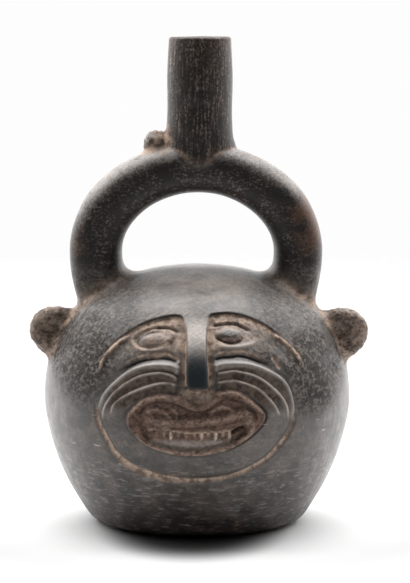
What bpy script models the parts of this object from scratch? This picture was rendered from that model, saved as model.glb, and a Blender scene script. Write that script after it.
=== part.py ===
"""Stirrup-spout vessel with a whiskered animal face: one hollow piece of fired black clay.

Metres, +Z up. The origin is at the middle of the resting base, and the face looks towards -Y.
A turned body carries a stirrup-shaped tube, whose two legs open into the body, with an upright
spout on its crown. The only way into the hollow is down the spout.
"""

import math

import bmesh
import bpy
import numpy as np
from mathutils import Matrix, Vector

MM = 0.001

# Body: a turned form, flat below and gently domed above.
BELLY_RADIUS = 69.35 * MM
BELLY_HEIGHT = 55.8 * MM
DOME_TOP = 116.8 * MM
FOOT_RADIUS = 46.5 * MM
FOOT_ROUNDING = 4.5 * MM
FOOT_OVERHANG = 0.86
FOOT_TURNS = (-22.0, -48.0, -72.0, -90.0)
SHOULDER_FULLNESS = 2.3
UNDERSIDE_FULLNESS = 1.55
DOME_RING_SHARES = (0.22, 0.42, 0.58)
BODY_WALL = 5.0 * MM
FLOOR_WALL = 6.5 * MM
HOLLOW_CORNER = 5.0 * MM

# Stirrup: a squarish tube along half an ellipse, whose legs lean in a little below it.
ARCH_HALF_SPAN = 45.7 * MM
ARCH_SPRING = 123.5 * MM
ARCH_RISE = 37.5 * MM
ARCH_FOOT = 90.0 * MM
LEG_LEAN = 4.9 * MM
LEG_LEAN_DROP = 25.0 * MM
TUBE_HALF_THICK = 11.4 * MM
CROWN_THINNING = 0.4 * MM
HAUNCH_FULLNESS = 0.35 * MM
LEFT_LEG_EXTRA = 0.4 * MM
TUBE_HALF_DEPTH = 14.0 * MM
TUBE_SQUARENESS = 2.9
ARCH_BORE = 7.6 * MM

# Spout: a straight tube, tapered below where it sinks into the crown.
SPOUT_X = 1.3 * MM
SPOUT_TOP = 220.0 * MM
SPOUT_RADIUS = 14.8 * MM
SPOUT_STRAIGHT = (178.0 * MM, 205.0 * MM)
RIM_RADIUS = 13.8 * MM
RIM_ROUNDING = 1.3 * MM
FLARE_RADIUS = 16.4 * MM
FLARE_ABOVE_CROWN = 10.0 * MM
SPOUT_TIP_RADIUS = 12.3 * MM
SPOUT_TIP_ABOVE_CROWN = 5.5 * MM
SPOUT_BORE = 9.8 * MM
BORE_TAPER_LENGTH = 12.0 * MM
BORE_NECK = 6.1 * MM

# Ears and the bead-like lug.
EAR_CENTRES = {
    "left": Vector((-61.3, -7.5, 86.8)) * MM,
    "right": Vector((63.1, -7.5, 86.0)) * MM,
}
EAR_HALF = Vector((15.0, 8.0, 11.6)) * MM
EAR_SWEEP = math.radians(14)
EAR_TILT = math.radians(24)
EAR_CUP = 4.2 * MM
LUG_CENTRE = Vector((-18.6, -1.0, 172.0)) * MM
LUG_HALF = Vector((5.5, 6.0, 5.6)) * MM

# Face, laid out in the upright plane seen from the front: x across, z up.
FACE_CENTRE = (-0.8 * MM, 57.0 * MM)
FACE_UP = 46.0 * MM
FACE_DOWN = 27.6 * MM
JAW_HALF_WIDTHS = {"left": 44.6 * MM, "right": 43.6 * MM}
BROW_HALF_WIDTHS = {"left": 45.6 * MM, "right": 49.2 * MM}
JAW_TO_BROW = (61.0 * MM, 79.0 * MM)
BROW_FULLNESS = {"left": 2.15, "right": 2.5}
SOCKET_DEPTH = 2.0 * MM
SOCKET_FLOOR_HEIGHTS = (76.0 * MM, 92.0 * MM)
GROOVE_DEPTH = 1.3 * MM
GROOVE_HALF_WIDTH = 2.2 * MM
NOSE_X = -0.3 * MM
NOSE_HALF_WIDTH = 5.0 * MM
NOSE_TOP = 99.0 * MM
NOSE_TIP = 69.0 * MM
NOSE_RISE = 4.6 * MM
EYES = (
    # x, z, half length, half height, slope
    (-18.9 * MM, 90.5 * MM, 8.2 * MM, 3.6 * MM, 0.12),
    (14.0 * MM, 91.6 * MM, 7.6 * MM, 3.6 * MM, -0.02),
)
EYE_RISE = 1.5 * MM
WHISKER_RISE = 1.5 * MM
WHISKER_HALF_WIDTH = 2.0 * MM
WHISKERS = (
    # Each ridge runs from the nose, over the cheek and down beside the mouth.
    ((-7.5, 79.0), (-15.8, 80.9), (-24.9, 79.3), (-33.0, 74.0), (-40.3, 65.6), (-42.6, 57.0)),
    ((-8.5, 75.2), (-17.1, 76.4), (-26.2, 73.7), (-34.1, 67.7), (-39.3, 60.5), (-41.0, 54.5)),
    ((-9.1, 71.6), (-15.8, 72.0), (-23.2, 69.5), (-31.0, 65.0), (-36.4, 59.7), (-38.0, 54.5)),
    ((7.9, 80.6), (17.4, 81.1), (29.6, 76.8), (38.8, 67.9), (41.4, 60.0)),
    ((8.6, 76.8), (20.4, 76.8), (29.8, 71.7), (37.0, 63.0), (39.5, 54.5)),
    ((8.9, 72.1), (16.3, 73.1), (25.5, 69.0), (32.8, 62.0), (36.9, 54.5)),
)
MOUTH_CENTRE = (-0.3 * MM, 55.2 * MM)
MOUTH_HALF = (30.8 * MM, 14.6 * MM)
MOUTH_RISE = 3.0 * MM
LIP_WIDTH = 5.0 * MM
MOUTH_OPENING = (22.5 * MM, 6.6 * MM)
MOUTH_HOLLOW = 1.7 * MM
TONGUE_HALF_WIDTH = 2.2 * MM
TONGUE_RISE = 1.4 * MM
TONGUE = ((-18.5, 56.2), (-6.0, 56.8), (8.0, 58.0), (19.0, 58.8))

# Fineness of the faceted solid. The body is carved finely, then thinned where it is smooth.
FACE_ANGLE = math.radians(92)
FACE_COLUMNS = 84
BACK_COLUMNS = 26
CARVING_STEP = 1.25 * MM
CARVED_FROM = 104.5 * MM
CARVED_TO = 25.0 * MM
KEPT_SHARE = 0.36
TUBE_STATIONS = 26
TUBE_SIDES = 16
BORE_SIDES = 10


def clear_scene():
    for item in list(bpy.data.objects):
        bpy.data.objects.remove(item, do_unlink=True)


def ease(amount):
    """0 below 0 and 1 above 1, with a smooth run between."""
    amount = np.clip(amount, 0.0, 1.0)
    return amount * amount * (3.0 - 2.0 * amount)


def smooth_path(points, per_span=8):
    """A smooth curve through a few (x, z) points given in millimetres, as metres."""
    spots = np.array(points) * MM
    before = np.vstack([2 * spots[0] - spots[1], spots[:-1]])
    after = np.vstack([spots[1:], 2 * spots[-1] - spots[-2]])
    slopes = (after - before) / 2
    run = []
    for index in range(len(spots) - 1):
        for part in np.linspace(0.0, 1.0, per_span, endpoint=False):
            run.append(
                (2 * part**3 - 3 * part**2 + 1) * spots[index]
                + (part**3 - 2 * part**2 + part) * slopes[index]
                + (3 * part**2 - 2 * part**3) * spots[index + 1]
                + (part**3 - part**2) * slopes[index + 1]
            )
    run.append(spots[-1])
    return np.array(run)


def distance_to(path, x, z):
    """How far each point (x, z) is from a path."""
    gaps = np.hypot(x[:, None] - path[None, :, 0], z[:, None] - path[None, :, 1])
    return gaps.min(axis=1)


def bump(distance, half_width):
    """A rounded ridge: 1 on its line and 0 past its half width."""
    return 1.0 - ease(distance / half_width)


def face_reach(x, z):
    """How far inside the face's outline each point is, negative outside."""
    on_left = x < FACE_CENTRE[0]
    jaw = np.where(on_left, JAW_HALF_WIDTHS["left"], JAW_HALF_WIDTHS["right"])
    brow = np.where(on_left, BROW_HALF_WIDTHS["left"], BROW_HALF_WIDTHS["right"])
    low, high = JAW_TO_BROW
    half_width = jaw + (brow - jaw) * ease((z - low) / (high - low))
    across = np.abs(x - FACE_CENTRE[0]) / half_width
    above = z - FACE_CENTRE[1]
    height = np.where(above > 0, above / FACE_UP, -above / FACE_DOWN)
    fullness = np.where(on_left, BROW_FULLNESS["left"], BROW_FULLNESS["right"])
    power = np.where(above > 0, fullness, 2.0)
    size = (across**power + height**power) ** (1.0 / power)
    radius = np.hypot(x - FACE_CENTRE[0], above) / np.maximum(size, 1e-6)
    return radius * (1.0 - size)


def mouth_relief(x, z):
    """The raised mouth: a rolled lip round a hollow, with the tongue lying across it."""
    across = x - MOUTH_CENTRE[0]
    height = z - MOUTH_CENTRE[1]
    size = np.hypot(across / MOUTH_HALF[0], height / MOUTH_HALF[1])
    reach = (1.0 - size) * MOUTH_HALF[1]
    opening = 1.0 - np.hypot(across / MOUTH_OPENING[0], height / MOUTH_OPENING[1])
    boss = MOUTH_RISE * ease(reach / LIP_WIDTH)
    hollow = MOUTH_HOLLOW * ease(opening * 3.0)
    tongue = TONGUE_RISE * bump(distance_to(smooth_path(TONGUE), x, z), TONGUE_HALF_WIDTH)
    return boss - hollow + tongue


def nose_relief(z):
    """How far the ridge of the nose stands out, down to its blunt tip."""
    along = (NOSE_TOP - z) / (NOSE_TOP - NOSE_TIP)
    return NOSE_RISE * np.clip(along, 0.0, 1.0) ** 1.6


def face_relief(x, z):
    """How far the face stands out from the turned body at each point (x, z)."""
    reach = face_reach(x, z)
    low, high = SOCKET_FLOOR_HEIGHTS
    inside = ease(reach / GROOVE_HALF_WIDTH + 0.5)
    height = -SOCKET_DEPTH * ease((z - low) / (high - low)) * inside
    height -= GROOVE_DEPTH * bump(np.abs(reach), GROOVE_HALF_WIDTH) * (z < low)
    nearest = np.min([distance_to(smooth_path(points), x, z) for points in WHISKERS], axis=0)
    height += WHISKER_RISE * bump(nearest, WHISKER_HALF_WIDTH)
    for eye_x, eye_z, half_length, half_height, slope in EYES:
        rise = z - eye_z - slope * (x - eye_x)
        size = np.hypot((x - eye_x) / half_length, rise / half_height)
        height += EYE_RISE * ease((1.0 - size) * 2.0)
    height = np.maximum(height, height + mouth_relief(x, z))
    sideways = np.abs(x - NOSE_X)
    nose = ease((NOSE_HALF_WIDTH + 1.2 * MM - sideways) / (2.4 * MM))
    nose *= ease((z - NOSE_TIP + 3.0 * MM) / (3.5 * MM))
    return height * (1.0 - nose) + nose_relief(z) * nose


def body_radius(z):
    """The turned body's outer radius at height z, before its lower edge is rounded."""
    if z >= BELLY_HEIGHT:
        up = min((z - BELLY_HEIGHT) / (DOME_TOP - BELLY_HEIGHT), 1.0)
        return BELLY_RADIUS * (1 - up**SHOULDER_FULLNESS) ** (1 / SHOULDER_FULLNESS)
    down = (BELLY_HEIGHT - z) / BELLY_HEIGHT
    narrowing = 1 - (FOOT_RADIUS / BELLY_RADIUS) ** 2
    return BELLY_RADIUS * math.sqrt(1 - narrowing * down**UNDERSIDE_FULLNESS)


def body_profile():
    """(radius, z) pairs from the top of the dome down its outer side to the middle of the base."""
    dome = [(0.0, DOME_TOP)]
    for share in DOME_RING_SHARES:
        up = (1 - share**SHOULDER_FULLNESS) ** (1 / SHOULDER_FULLNESS)
        dome.append((BELLY_RADIUS * share, BELLY_HEIGHT + (DOME_TOP - BELLY_HEIGHT) * up))
    carved = [(body_radius(z), z) for z in carved_heights()]
    below_face = np.linspace(CARVED_TO - 4 * MM, FOOT_ROUNDING * 1.25, 3)
    flank = [(body_radius(z), z) for z in below_face]
    foot = []
    for turn in np.radians(FOOT_TURNS):
        foot.append((
            FOOT_RADIUS - FOOT_ROUNDING * (FOOT_OVERHANG - math.cos(turn)),
            FOOT_ROUNDING * (1 + math.sin(turn)),
        ))
    return dome + carved + flank + foot + [(0.0, 0.0)]


def carved_heights():
    """Heights down the face, a carving step apart along the body's outer side."""
    heights = []
    z = CARVED_FROM
    while z > CARVED_TO:
        heights.append(z)
        slope = (body_radius(z) - body_radius(z - 0.1 * MM)) / (0.1 * MM)
        z -= CARVING_STEP / math.hypot(1.0, slope)
    return heights


def cavity_profile():
    """(radius, z) pairs of the hollow, a wall's thickness inside the body."""
    inner_radius = BELLY_RADIUS - BODY_WALL
    inner_top = DOME_TOP - BODY_WALL
    pairs = [(0.0, inner_top)]
    for turn in np.radians(np.arange(78, -1, -13)):
        power = 2 / SHOULDER_FULLNESS
        pairs.append((
            inner_radius * math.cos(turn) ** power,
            BELLY_HEIGHT + (inner_top - BELLY_HEIGHT) * math.sin(turn) ** power,
        ))
    for z in np.linspace(BELLY_HEIGHT * 0.75, FLOOR_WALL + HOLLOW_CORNER, 3):
        pairs.append((body_radius(z) - BODY_WALL, z))
    corner_radius = body_radius(FLOOR_WALL) - BODY_WALL - HOLLOW_CORNER
    pairs.append((corner_radius, FLOOR_WALL + HOLLOW_CORNER / 4))
    pairs.append((0.0, FLOOR_WALL))
    return pairs


def spout_profile():
    """(radius, z) pairs of the spout, rounded at its rim, flared at its root and tapered below."""
    crown = ARCH_SPRING + ARCH_RISE
    low, high = SPOUT_STRAIGHT
    rim = []
    for turn in np.radians([90.0, 45.0, 0.0]):
        rim.append((
            RIM_RADIUS - RIM_ROUNDING * (1 - math.cos(turn)),
            SPOUT_TOP - RIM_ROUNDING * (1 - math.sin(turn)),
        ))
    return [
        (0.0, SPOUT_TOP),
        *rim,
        (SPOUT_RADIUS, high),
        (SPOUT_RADIUS, low),
        (FLARE_RADIUS, crown + FLARE_ABOVE_CROWN),
        (SPOUT_RADIUS, crown + SPOUT_TIP_ABOVE_CROWN),
        (SPOUT_TIP_RADIUS, crown),
        (0.0, crown),
    ]


def spout_bore_profile():
    """(radius, z) pairs of the spout's bore, which tapers where it opens into the stirrup's."""
    above = SPOUT_TOP + 5 * MM
    bottom = ARCH_SPRING + ARCH_RISE - ARCH_BORE / 2
    return [
        (0.0, above),
        (SPOUT_BORE, above),
        (SPOUT_BORE, bottom + BORE_TAPER_LENGTH),
        (BORE_NECK, bottom),
        (0.0, bottom),
    ]


def object_from(name, mesh_builder):
    """A new smooth-shaded object whose faces point outwards."""
    bmesh.ops.remove_doubles(mesh_builder, verts=mesh_builder.verts, dist=1e-6)
    bmesh.ops.recalc_face_normals(mesh_builder, faces=mesh_builder.faces)
    mesh = bpy.data.meshes.new(name)
    mesh_builder.to_mesh(mesh)
    mesh_builder.free()
    mesh.shade_smooth()
    mesh.set_sharp_from_angle(angle=math.radians(50))
    made = bpy.data.objects.new(name, mesh)
    bpy.context.scene.collection.objects.link(made)
    return made


def spun(name, profile, centre_x=0.0, sweeps=((math.tau, 24),), start=0.0):
    """A solid turned about an upright axis. Each sweep is an angle and its number of steps."""
    builder = bmesh.new()
    heading = Vector((math.sin(start), -math.cos(start), 0.0))
    verts = [builder.verts.new(heading * radius + Vector((0.0, 0.0, z))) for radius, z in profile]
    geometry = verts + [builder.edges.new(pair) for pair in zip(verts, verts[1:])]
    for angle, steps in sweeps:
        spin = bmesh.ops.spin(
            builder, geom=geometry, cent=(0, 0, 0), axis=(0, 0, 1), angle=angle, steps=steps
        )
        geometry = spin["geom_last"]
    bmesh.ops.translate(builder, verts=builder.verts, vec=(centre_x, 0.0, 0.0))
    return object_from(name, builder)


def arch_path():
    """The stirrup's centre line: (x, z, outward angle) from the left foot over to the right foot."""
    leg_steps = 4
    drops = np.linspace(ARCH_SPRING - ARCH_FOOT, 0.0, leg_steps, endpoint=False)
    leg = []
    for drop in drops:
        lean = LEG_LEAN * (drop / LEG_LEAN_DROP) ** 2
        slope = 2 * LEG_LEAN * drop / LEG_LEAN_DROP**2
        leg.append((ARCH_HALF_SPAN - lean, ARCH_SPRING - drop, -math.atan(slope)))
    arc = []
    for turn in np.linspace(0.0, math.pi, TUBE_STATIONS - 2 * leg_steps):
        outward = math.atan2(math.sin(turn) / ARCH_RISE, math.cos(turn) / ARCH_HALF_SPAN)
        arc.append((ARCH_HALF_SPAN * math.cos(turn), ARCH_SPRING + ARCH_RISE * math.sin(turn), outward))
    far_leg = [(-x, z, math.pi - outward) for x, z, outward in reversed(leg)]
    return (leg + arc + far_leg)[::-1]


def swept(name, section_at, sides):
    """A tube along the stirrup's centre line, with a ring at each station and flat ends."""
    builder = bmesh.new()
    previous = None
    for x, z, outward in arch_path():
        half_thick, half_depth, squareness = section_at(outward)
        ring = []
        for turn in np.linspace(0.0, math.tau, sides, endpoint=False):
            cosine, sine = math.cos(turn), math.sin(turn)
            out = half_thick * math.copysign(abs(cosine) ** (2 / squareness), cosine)
            deep = half_depth * math.copysign(abs(sine) ** (2 / squareness), sine)
            spot = (x + out * math.cos(outward), deep, z + out * math.sin(outward))
            ring.append(builder.verts.new(spot))
        edges = [builder.edges.new((ring[i], ring[(i + 1) % sides])) for i in range(sides)]
        if previous is None:
            builder.faces.new(ring)
        else:
            bmesh.ops.bridge_loops(builder, edges=previous + edges)
        previous = edges
    builder.faces.new(ring)
    return object_from(name, builder)


def tube_section(outward):
    """Half thickness, half depth and squareness of the tube, thinner at the crown and full between."""
    leftness = -math.cos(outward)
    rise = max(math.sin(outward), 0.0)
    half_thick = TUBE_HALF_THICK - CROWN_THINNING * rise**2
    half_thick += HAUNCH_FULLNESS * (2 * rise * leftness) ** 2
    return half_thick + LEFT_LEG_EXTRA * leftness, TUBE_HALF_DEPTH, TUBE_SQUARENESS


def bore_section(_outward):
    return ARCH_BORE, ARCH_BORE, 2.0


def ear(side):
    """A rounded tab, cupped on its front, on the left or right side."""
    centre = EAR_CENTRES[side]
    outward = math.copysign(1.0, centre.x)
    builder = bmesh.new()
    bmesh.ops.create_uvsphere(builder, u_segments=16, v_segments=10, radius=1.0)
    for vert in builder.verts:
        x, y, z = vert.co
        cup = EAR_CUP * math.exp(-((x - 0.15) ** 2 + z * z) / 0.32) if y < 0 else 0.0
        vert.co = Vector((x * EAR_HALF.x, y * EAR_HALF.y + cup, z * EAR_HALF.z))
    place = (
        Matrix.Translation(centre)
        @ Matrix.Scale(outward, 4, (1, 0, 0))
        @ Matrix.Rotation(-EAR_SWEEP, 4, "Z")
        @ Matrix.Rotation(-EAR_TILT, 4, "Y")
    )
    bmesh.ops.transform(builder, matrix=place, verts=builder.verts)
    return object_from(f"{side}_ear_form", builder)


def lug(name):
    builder = bmesh.new()
    bmesh.ops.create_icosphere(builder, subdivisions=2, radius=1.0)
    bmesh.ops.scale(builder, vec=LUG_HALF, verts=builder.verts)
    bmesh.ops.translate(builder, vec=LUG_CENTRE, verts=builder.verts)
    return object_from(name, builder)


def carve_face(body):
    """Moves the front of the body in and out along its own surface to form the face."""
    mesh = body.data
    count = len(mesh.vertices)
    spots = np.empty(count * 3)
    mesh.vertices.foreach_get("co", spots)
    spots = spots.reshape(-1, 3)
    normals = np.empty(count * 3)
    mesh.vertices.foreach_get("normal", normals)
    normals = normals.reshape(-1, 3)
    front = (spots[:, 1] < -20 * MM) & (spots[:, 2] > 20 * MM) & (spots[:, 2] < 108 * MM)
    x, z = spots[front, 0], spots[front, 2]
    outline_fade = ease((face_reach(x, z) + 2 * GROOVE_HALF_WIDTH) / GROOVE_HALF_WIDTH)
    spots[front] += normals[front] * (face_relief(x, z) * outline_fade)[:, None]
    mesh.vertices.foreach_set("co", spots.ravel())
    mesh.update()


def burnished_clay():
    clay = bpy.data.materials.new("burnished_black_clay")
    clay.use_nodes = True
    shader = clay.node_tree.nodes["Principled BSDF"]
    shader.inputs["Base Color"].default_value = (0.030, 0.027, 0.026, 1.0)
    shader.inputs["Roughness"].default_value = 0.38
    shader.inputs["Metallic"].default_value = 0.0
    return clay


def thin_out(body):
    """Joins faces where the body is smooth and leaves them where it is carved."""
    step = body.modifiers.new("thin_smooth_parts", "DECIMATE")
    step.decimate_type = "COLLAPSE"
    step.ratio = KEPT_SHARE


def combine(body, operation, helper):
    helper.hide_render = True
    helper.display_type = "WIRE"
    step = body.modifiers.new(f"{operation.lower()}_{helper.name}", "BOOLEAN")
    step.operation = operation
    step.solver = "EXACT"
    step.object = helper


def main():
    clear_scene()
    sweeps = ((FACE_ANGLE, FACE_COLUMNS), (math.tau - FACE_ANGLE, BACK_COLUMNS))
    vessel = spun("vessel", body_profile(), sweeps=sweeps, start=-FACE_ANGLE / 2)
    carve_face(vessel)
    thin_out(vessel)
    combine(vessel, "UNION", swept("stirrup_form", tube_section, TUBE_SIDES))
    combine(vessel, "UNION", spun("spout_form", spout_profile(), SPOUT_X))
    for side in EAR_CENTRES:
        combine(vessel, "UNION", ear(side))
    combine(vessel, "UNION", lug("lug_form"))
    combine(vessel, "DIFFERENCE", spun("body_hollow", cavity_profile()))
    combine(vessel, "DIFFERENCE", swept("stirrup_bore", bore_section, BORE_SIDES))
    combine(vessel, "DIFFERENCE", spun("spout_bore", spout_bore_profile(), SPOUT_X))
    vessel.data.materials.append(burnished_clay())


main()
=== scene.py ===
import math

import bmesh
import bpy
import numpy as np
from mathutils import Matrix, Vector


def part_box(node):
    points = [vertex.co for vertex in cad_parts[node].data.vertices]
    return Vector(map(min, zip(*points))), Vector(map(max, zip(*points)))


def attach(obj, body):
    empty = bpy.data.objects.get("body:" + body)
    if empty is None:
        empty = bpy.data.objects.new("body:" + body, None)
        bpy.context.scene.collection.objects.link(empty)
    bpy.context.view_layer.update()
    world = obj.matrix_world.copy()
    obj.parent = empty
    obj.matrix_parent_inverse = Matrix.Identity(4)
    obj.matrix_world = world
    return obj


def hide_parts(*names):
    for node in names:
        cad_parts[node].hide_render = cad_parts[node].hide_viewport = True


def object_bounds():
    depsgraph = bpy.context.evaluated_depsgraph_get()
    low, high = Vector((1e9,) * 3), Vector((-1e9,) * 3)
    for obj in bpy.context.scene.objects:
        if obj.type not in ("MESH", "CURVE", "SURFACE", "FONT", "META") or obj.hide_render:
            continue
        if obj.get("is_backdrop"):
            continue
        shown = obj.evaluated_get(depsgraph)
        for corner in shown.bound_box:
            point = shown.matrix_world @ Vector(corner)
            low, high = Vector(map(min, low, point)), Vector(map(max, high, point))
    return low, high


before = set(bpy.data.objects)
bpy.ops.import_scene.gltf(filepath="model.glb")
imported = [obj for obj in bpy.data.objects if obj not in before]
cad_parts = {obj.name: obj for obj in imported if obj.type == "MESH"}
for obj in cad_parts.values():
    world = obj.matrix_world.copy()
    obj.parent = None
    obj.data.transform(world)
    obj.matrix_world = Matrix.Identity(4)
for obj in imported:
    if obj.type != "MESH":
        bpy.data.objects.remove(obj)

CAD_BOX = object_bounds()
MM = 0.001

# Sizes of the vessel in millimetres, as the solid has them.
BELLY_RADIUS = 69.35
BELLY_HEIGHT = 55.8
DOME_TOP = 116.8
FOOT_RADIUS = 46.5
FOOT_ROUNDING = 4.5
SHOULDER_FULLNESS = 2.3
UNDERSIDE_FULLNESS = 1.55
BODY_WALL = 5
FLOOR_WALL = 6.5
ARCH_HALF_SPAN = 45.7
ARCH_SPRING = 123.5
ARCH_RISE = 37.5
LEG_DEPTH = 36
LEG_LEAN = 4.9
LEG_LEAN_DROP = 25
TUBE_HALF_THICK = 11.4
TUBE_HALF_DEPTH = 14
TUBE_SQUARENESS = 2.9
CROWN_THINNING = 0.4
HAUNCH_FULLNESS = 0.35
LEFT_LEG_EXTRA = 0.4
ARCH_BORE = 7.6
BORE_FOOT = 92
CROWN = ARCH_SPRING + ARCH_RISE
SPOUT_X = 1.3
SPOUT_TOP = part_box("vessel")[1].z / MM
SPOUT_FOOT = CROWN - 3
SPOUT_RADIUS = 14.8
SPOUT_WAIST = 14.3
SPOUT_TIP_RADIUS = 12.6
SPOUT_BORE = 9.8
RIM_RADIUS = 14
RIM_ROUNDING = 1.4
# The spout's radius at heights above the stirrup's crown, from its sunken foot up to its neck.
SPOUT_ROOT = ((-3, 10.8), (0, 12.6), (3, 14.5), (6.5, 15.6), (9.5, 16.3), (14, 15.2), (20, 14.8))
SPOUT_NECK = 200
FLARE_TOP = 190
EAR_CENTRES = ((-61.3, -7.5, 86.8), (63.1, -7.5, 86))
EAR_HALF = (15, 8, 11.6)
EAR_SWEEP = math.radians(14)
EAR_TILT = math.radians(24)
EAR_CUP = 4.2
EAR_ROOT = 57
LUG_CENTRE = (-18.6, -1, 172)
LUG_HALF = (5.5, 6, 5.6)

# How softly the clay of one part runs into the next: for a leg, outside and inside the loop.
LEG_FILLET = (4, 9)
EAR_FILLET = 4.5
SPOUT_FILLET = 2.2
LUG_FILLET = 4.2

# How the skin is divided: its first even faces, and the points round each blank part.
SKIN_STEP = 1.8
BODY_POINTS = 72
STIRRUP_POINTS = 48
SPOUT_POINTS = 60
CHAMBER_POINTS = 36
BORE_POINTS = 24
MOUTH_POINTS = 64


# --- Expressions for shader and geometry nodes ---


class Value:
    """A number inside a node tree. Python's operators on it add Math nodes."""

    def __init__(self, net, socket):
        self.net = net
        self.socket = socket

    def math(self, operation, *others):
        return self.net.math(operation, self, *others)

    def __add__(self, other):
        return self.math("ADD", other)

    __radd__ = __add__

    def __sub__(self, other):
        return self.math("SUBTRACT", other)

    def __rsub__(self, other):
        return self.net.math("SUBTRACT", other, self)

    def __mul__(self, other):
        return self.math("MULTIPLY", other)

    __rmul__ = __mul__

    def __truediv__(self, other):
        return self.math("DIVIDE", other)

    def __rtruediv__(self, other):
        return self.net.math("DIVIDE", other, self)

    def __pow__(self, other):
        return self.math("POWER", other)

    def __neg__(self):
        return self * -1

    def eased(self, low, high):
        """0 at low and 1 at high, with a smooth run between; high may be below low."""
        settings = {"interpolation_type": "SMOOTHSTEP"}
        sockets = {"Value": self, "From Min": low, "From Max": high}
        return self.net.add("ShaderNodeMapRange", settings, sockets)

    def within(self, low, high):
        return self.math("MAXIMUM", low).math("MINIMUM", high)


class Net:
    """A node tree under construction."""

    def __init__(self, tree):
        self.tree = tree

    def add(self, kind, settings=None, sockets=None, out=0):
        """Adds a node, sets its settings first and then its sockets, and gives one output."""
        node = self.tree.nodes.new(kind)
        for name, setting in (settings or {}).items():
            setattr(node, name, setting)
        for key, given in (sockets or {}).items():
            self.put(node.inputs[key], given)
        return Value(self, node.outputs[out])

    def put(self, socket, given):
        if isinstance(given, Value):
            self.tree.links.new(given.socket, socket)
        elif socket.type == "RGBA":
            socket.default_value = (*given, 1)
        else:
            socket.default_value = given

    def math(self, operation, *numbers):
        return self.add("ShaderNodeMath", {"operation": operation}, dict(enumerate(numbers)))

    def vector(self, x, y, z):
        return self.add("ShaderNodeCombineXYZ", None, {"X": x, "Y": y, "Z": z})

    def parts(self, vector):
        """A vector's x, y and z."""
        split = self.add("ShaderNodeSeparateXYZ", None, {0: vector})
        return [Value(self, part) for part in split.socket.node.outputs]


# --- The blank: turned body, stirrup, spout, ears and lug, before their joints are worked ---


def in_scene(name, data):
    """A new object that holds the data, put in the scene."""
    thing = bpy.data.objects.new(name, data)
    bpy.context.scene.collection.objects.link(thing)
    return thing


class Recipe(Net):
    """A geometry tree with named sizes, ending in Realize Instances and Set Material."""

    def __init__(self, name, sizes):
        super().__init__(bpy.data.node_groups.new(name, "GeometryNodeTree"))
        self.sizes = sizes
        self.identifiers = {}
        doors = self.tree.interface
        for label in sizes:
            socket = doors.new_socket(label, in_out="INPUT", socket_type="NodeSocketFloat")
            self.identifiers[label] = socket.identifier
        doors.new_socket("Clay", in_out="OUTPUT", socket_type="NodeSocketGeometry")
        self.entry = self.tree.nodes.new("NodeGroupInput")

    def size(self, label):
        return Value(self, self.entry.outputs[label])

    def line(self, count):
        """A line of so many points, and how far along it each is, from 0 to 1."""
        points = self.add("GeometryNodeCurvePrimitiveLine")
        points = self.add("GeometryNodeResampleCurve", None, {"Curve": points, "Count": count})
        return points, self.add("GeometryNodeSplineParameter")

    def ring(self, count):
        sockets = {"Resolution": count, "Radius": 1}
        return self.add("GeometryNodeCurvePrimitiveCircle", None, sockets)

    def placed(self, geometry, position):
        sockets = {"Geometry": geometry, "Position": position}
        return self.add("GeometryNodeSetPosition", None, sockets)

    def moved(self, geometry, **sockets):
        """Geometry moved by Translation, and turned and scaled where those are given."""
        return self.add("GeometryNodeTransform", None, {"Geometry": geometry, **sockets})

    def swept(self, path, outline, **sockets):
        """A solid made by an outline that goes along a path."""
        sockets = {"Curve": path, "Profile Curve": outline, "Fill Caps": True, **sockets}
        return self.add("GeometryNodeCurveToMesh", None, sockets)

    def turned(self, radius, height, rows, count):
        """A solid turned about the upright axis from a radius and a height along a line."""
        points, _ = self.line(rows)
        points = self.add("GeometryNodeSetCurveRadius", None, {"Curve": points, "Radius": radius})
        points = self.placed(points, self.vector(0, 0, height))
        return self.swept(points, self.ring(count), Scale=self.add("GeometryNodeInputRadius"))

    def made(self, geometries, material):
        """Ends the tree, and gives its result as a plain mesh object."""
        joined = self.tree.nodes.new("GeometryNodeJoinGeometry")
        for geometry in geometries:
            self.tree.links.new(geometry.socket, joined.inputs[0])
        real = self.add("GeometryNodeRealizeInstances", None, {0: Value(self, joined.outputs[0])})
        sockets = {"Geometry": real, "Material": material}
        painted = self.add("GeometryNodeSetMaterial", None, sockets)
        end = self.tree.nodes.new("NodeGroupOutput")
        self.tree.links.new(painted.socket, end.inputs[0])
        carrier = in_scene(self.tree.name, bpy.data.meshes.new(self.tree.name))
        step = carrier.modifiers.new("recipe", "NODES")
        step.node_group = self.tree
        for label, identifier in self.identifiers.items():
            step[identifier] = float(self.sizes[label])
        return settled(carrier)


def settled(carrier):
    """Swaps an object's live modifiers for the mesh that they make."""
    graph = bpy.context.evaluated_depsgraph_get()
    mesh = bpy.data.meshes.new_from_object(carrier.evaluated_get(graph))
    carrier.modifiers.clear()
    carrier.data = mesh
    return carrier


def body_recipe(name, sizes, count, material):
    """The turned body, or the hollow inside it."""
    recipe = Recipe(name, sizes)
    size = recipe.size
    along = recipe.add("GeometryNodeSplineParameter")
    up = (along * 2 - 1).within(0, 1)
    down = (1 - along * 2).within(0, 1)
    power = 2 / size("Shoulder Fullness")
    turn = up * (math.pi / 2)
    dome_radius = turn.math("COSINE").within(0, 1) ** power
    dome_height = turn.math("SINE").within(0, 1) ** power * (size("Top") - size("Belly Height"))
    narrowing = 1 - (size("Foot Radius") / size("Belly Radius")) ** 2
    flank_radius = (1 - narrowing * down ** size("Underside Fullness")) ** 0.5
    radius = size("Belly Radius") * dome_radius * flank_radius
    height = size("Belly Height") + dome_height - down * (size("Belly Height") - size("Bottom"))
    return recipe.made([recipe.turned(radius, height, count, count)], material)


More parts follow.
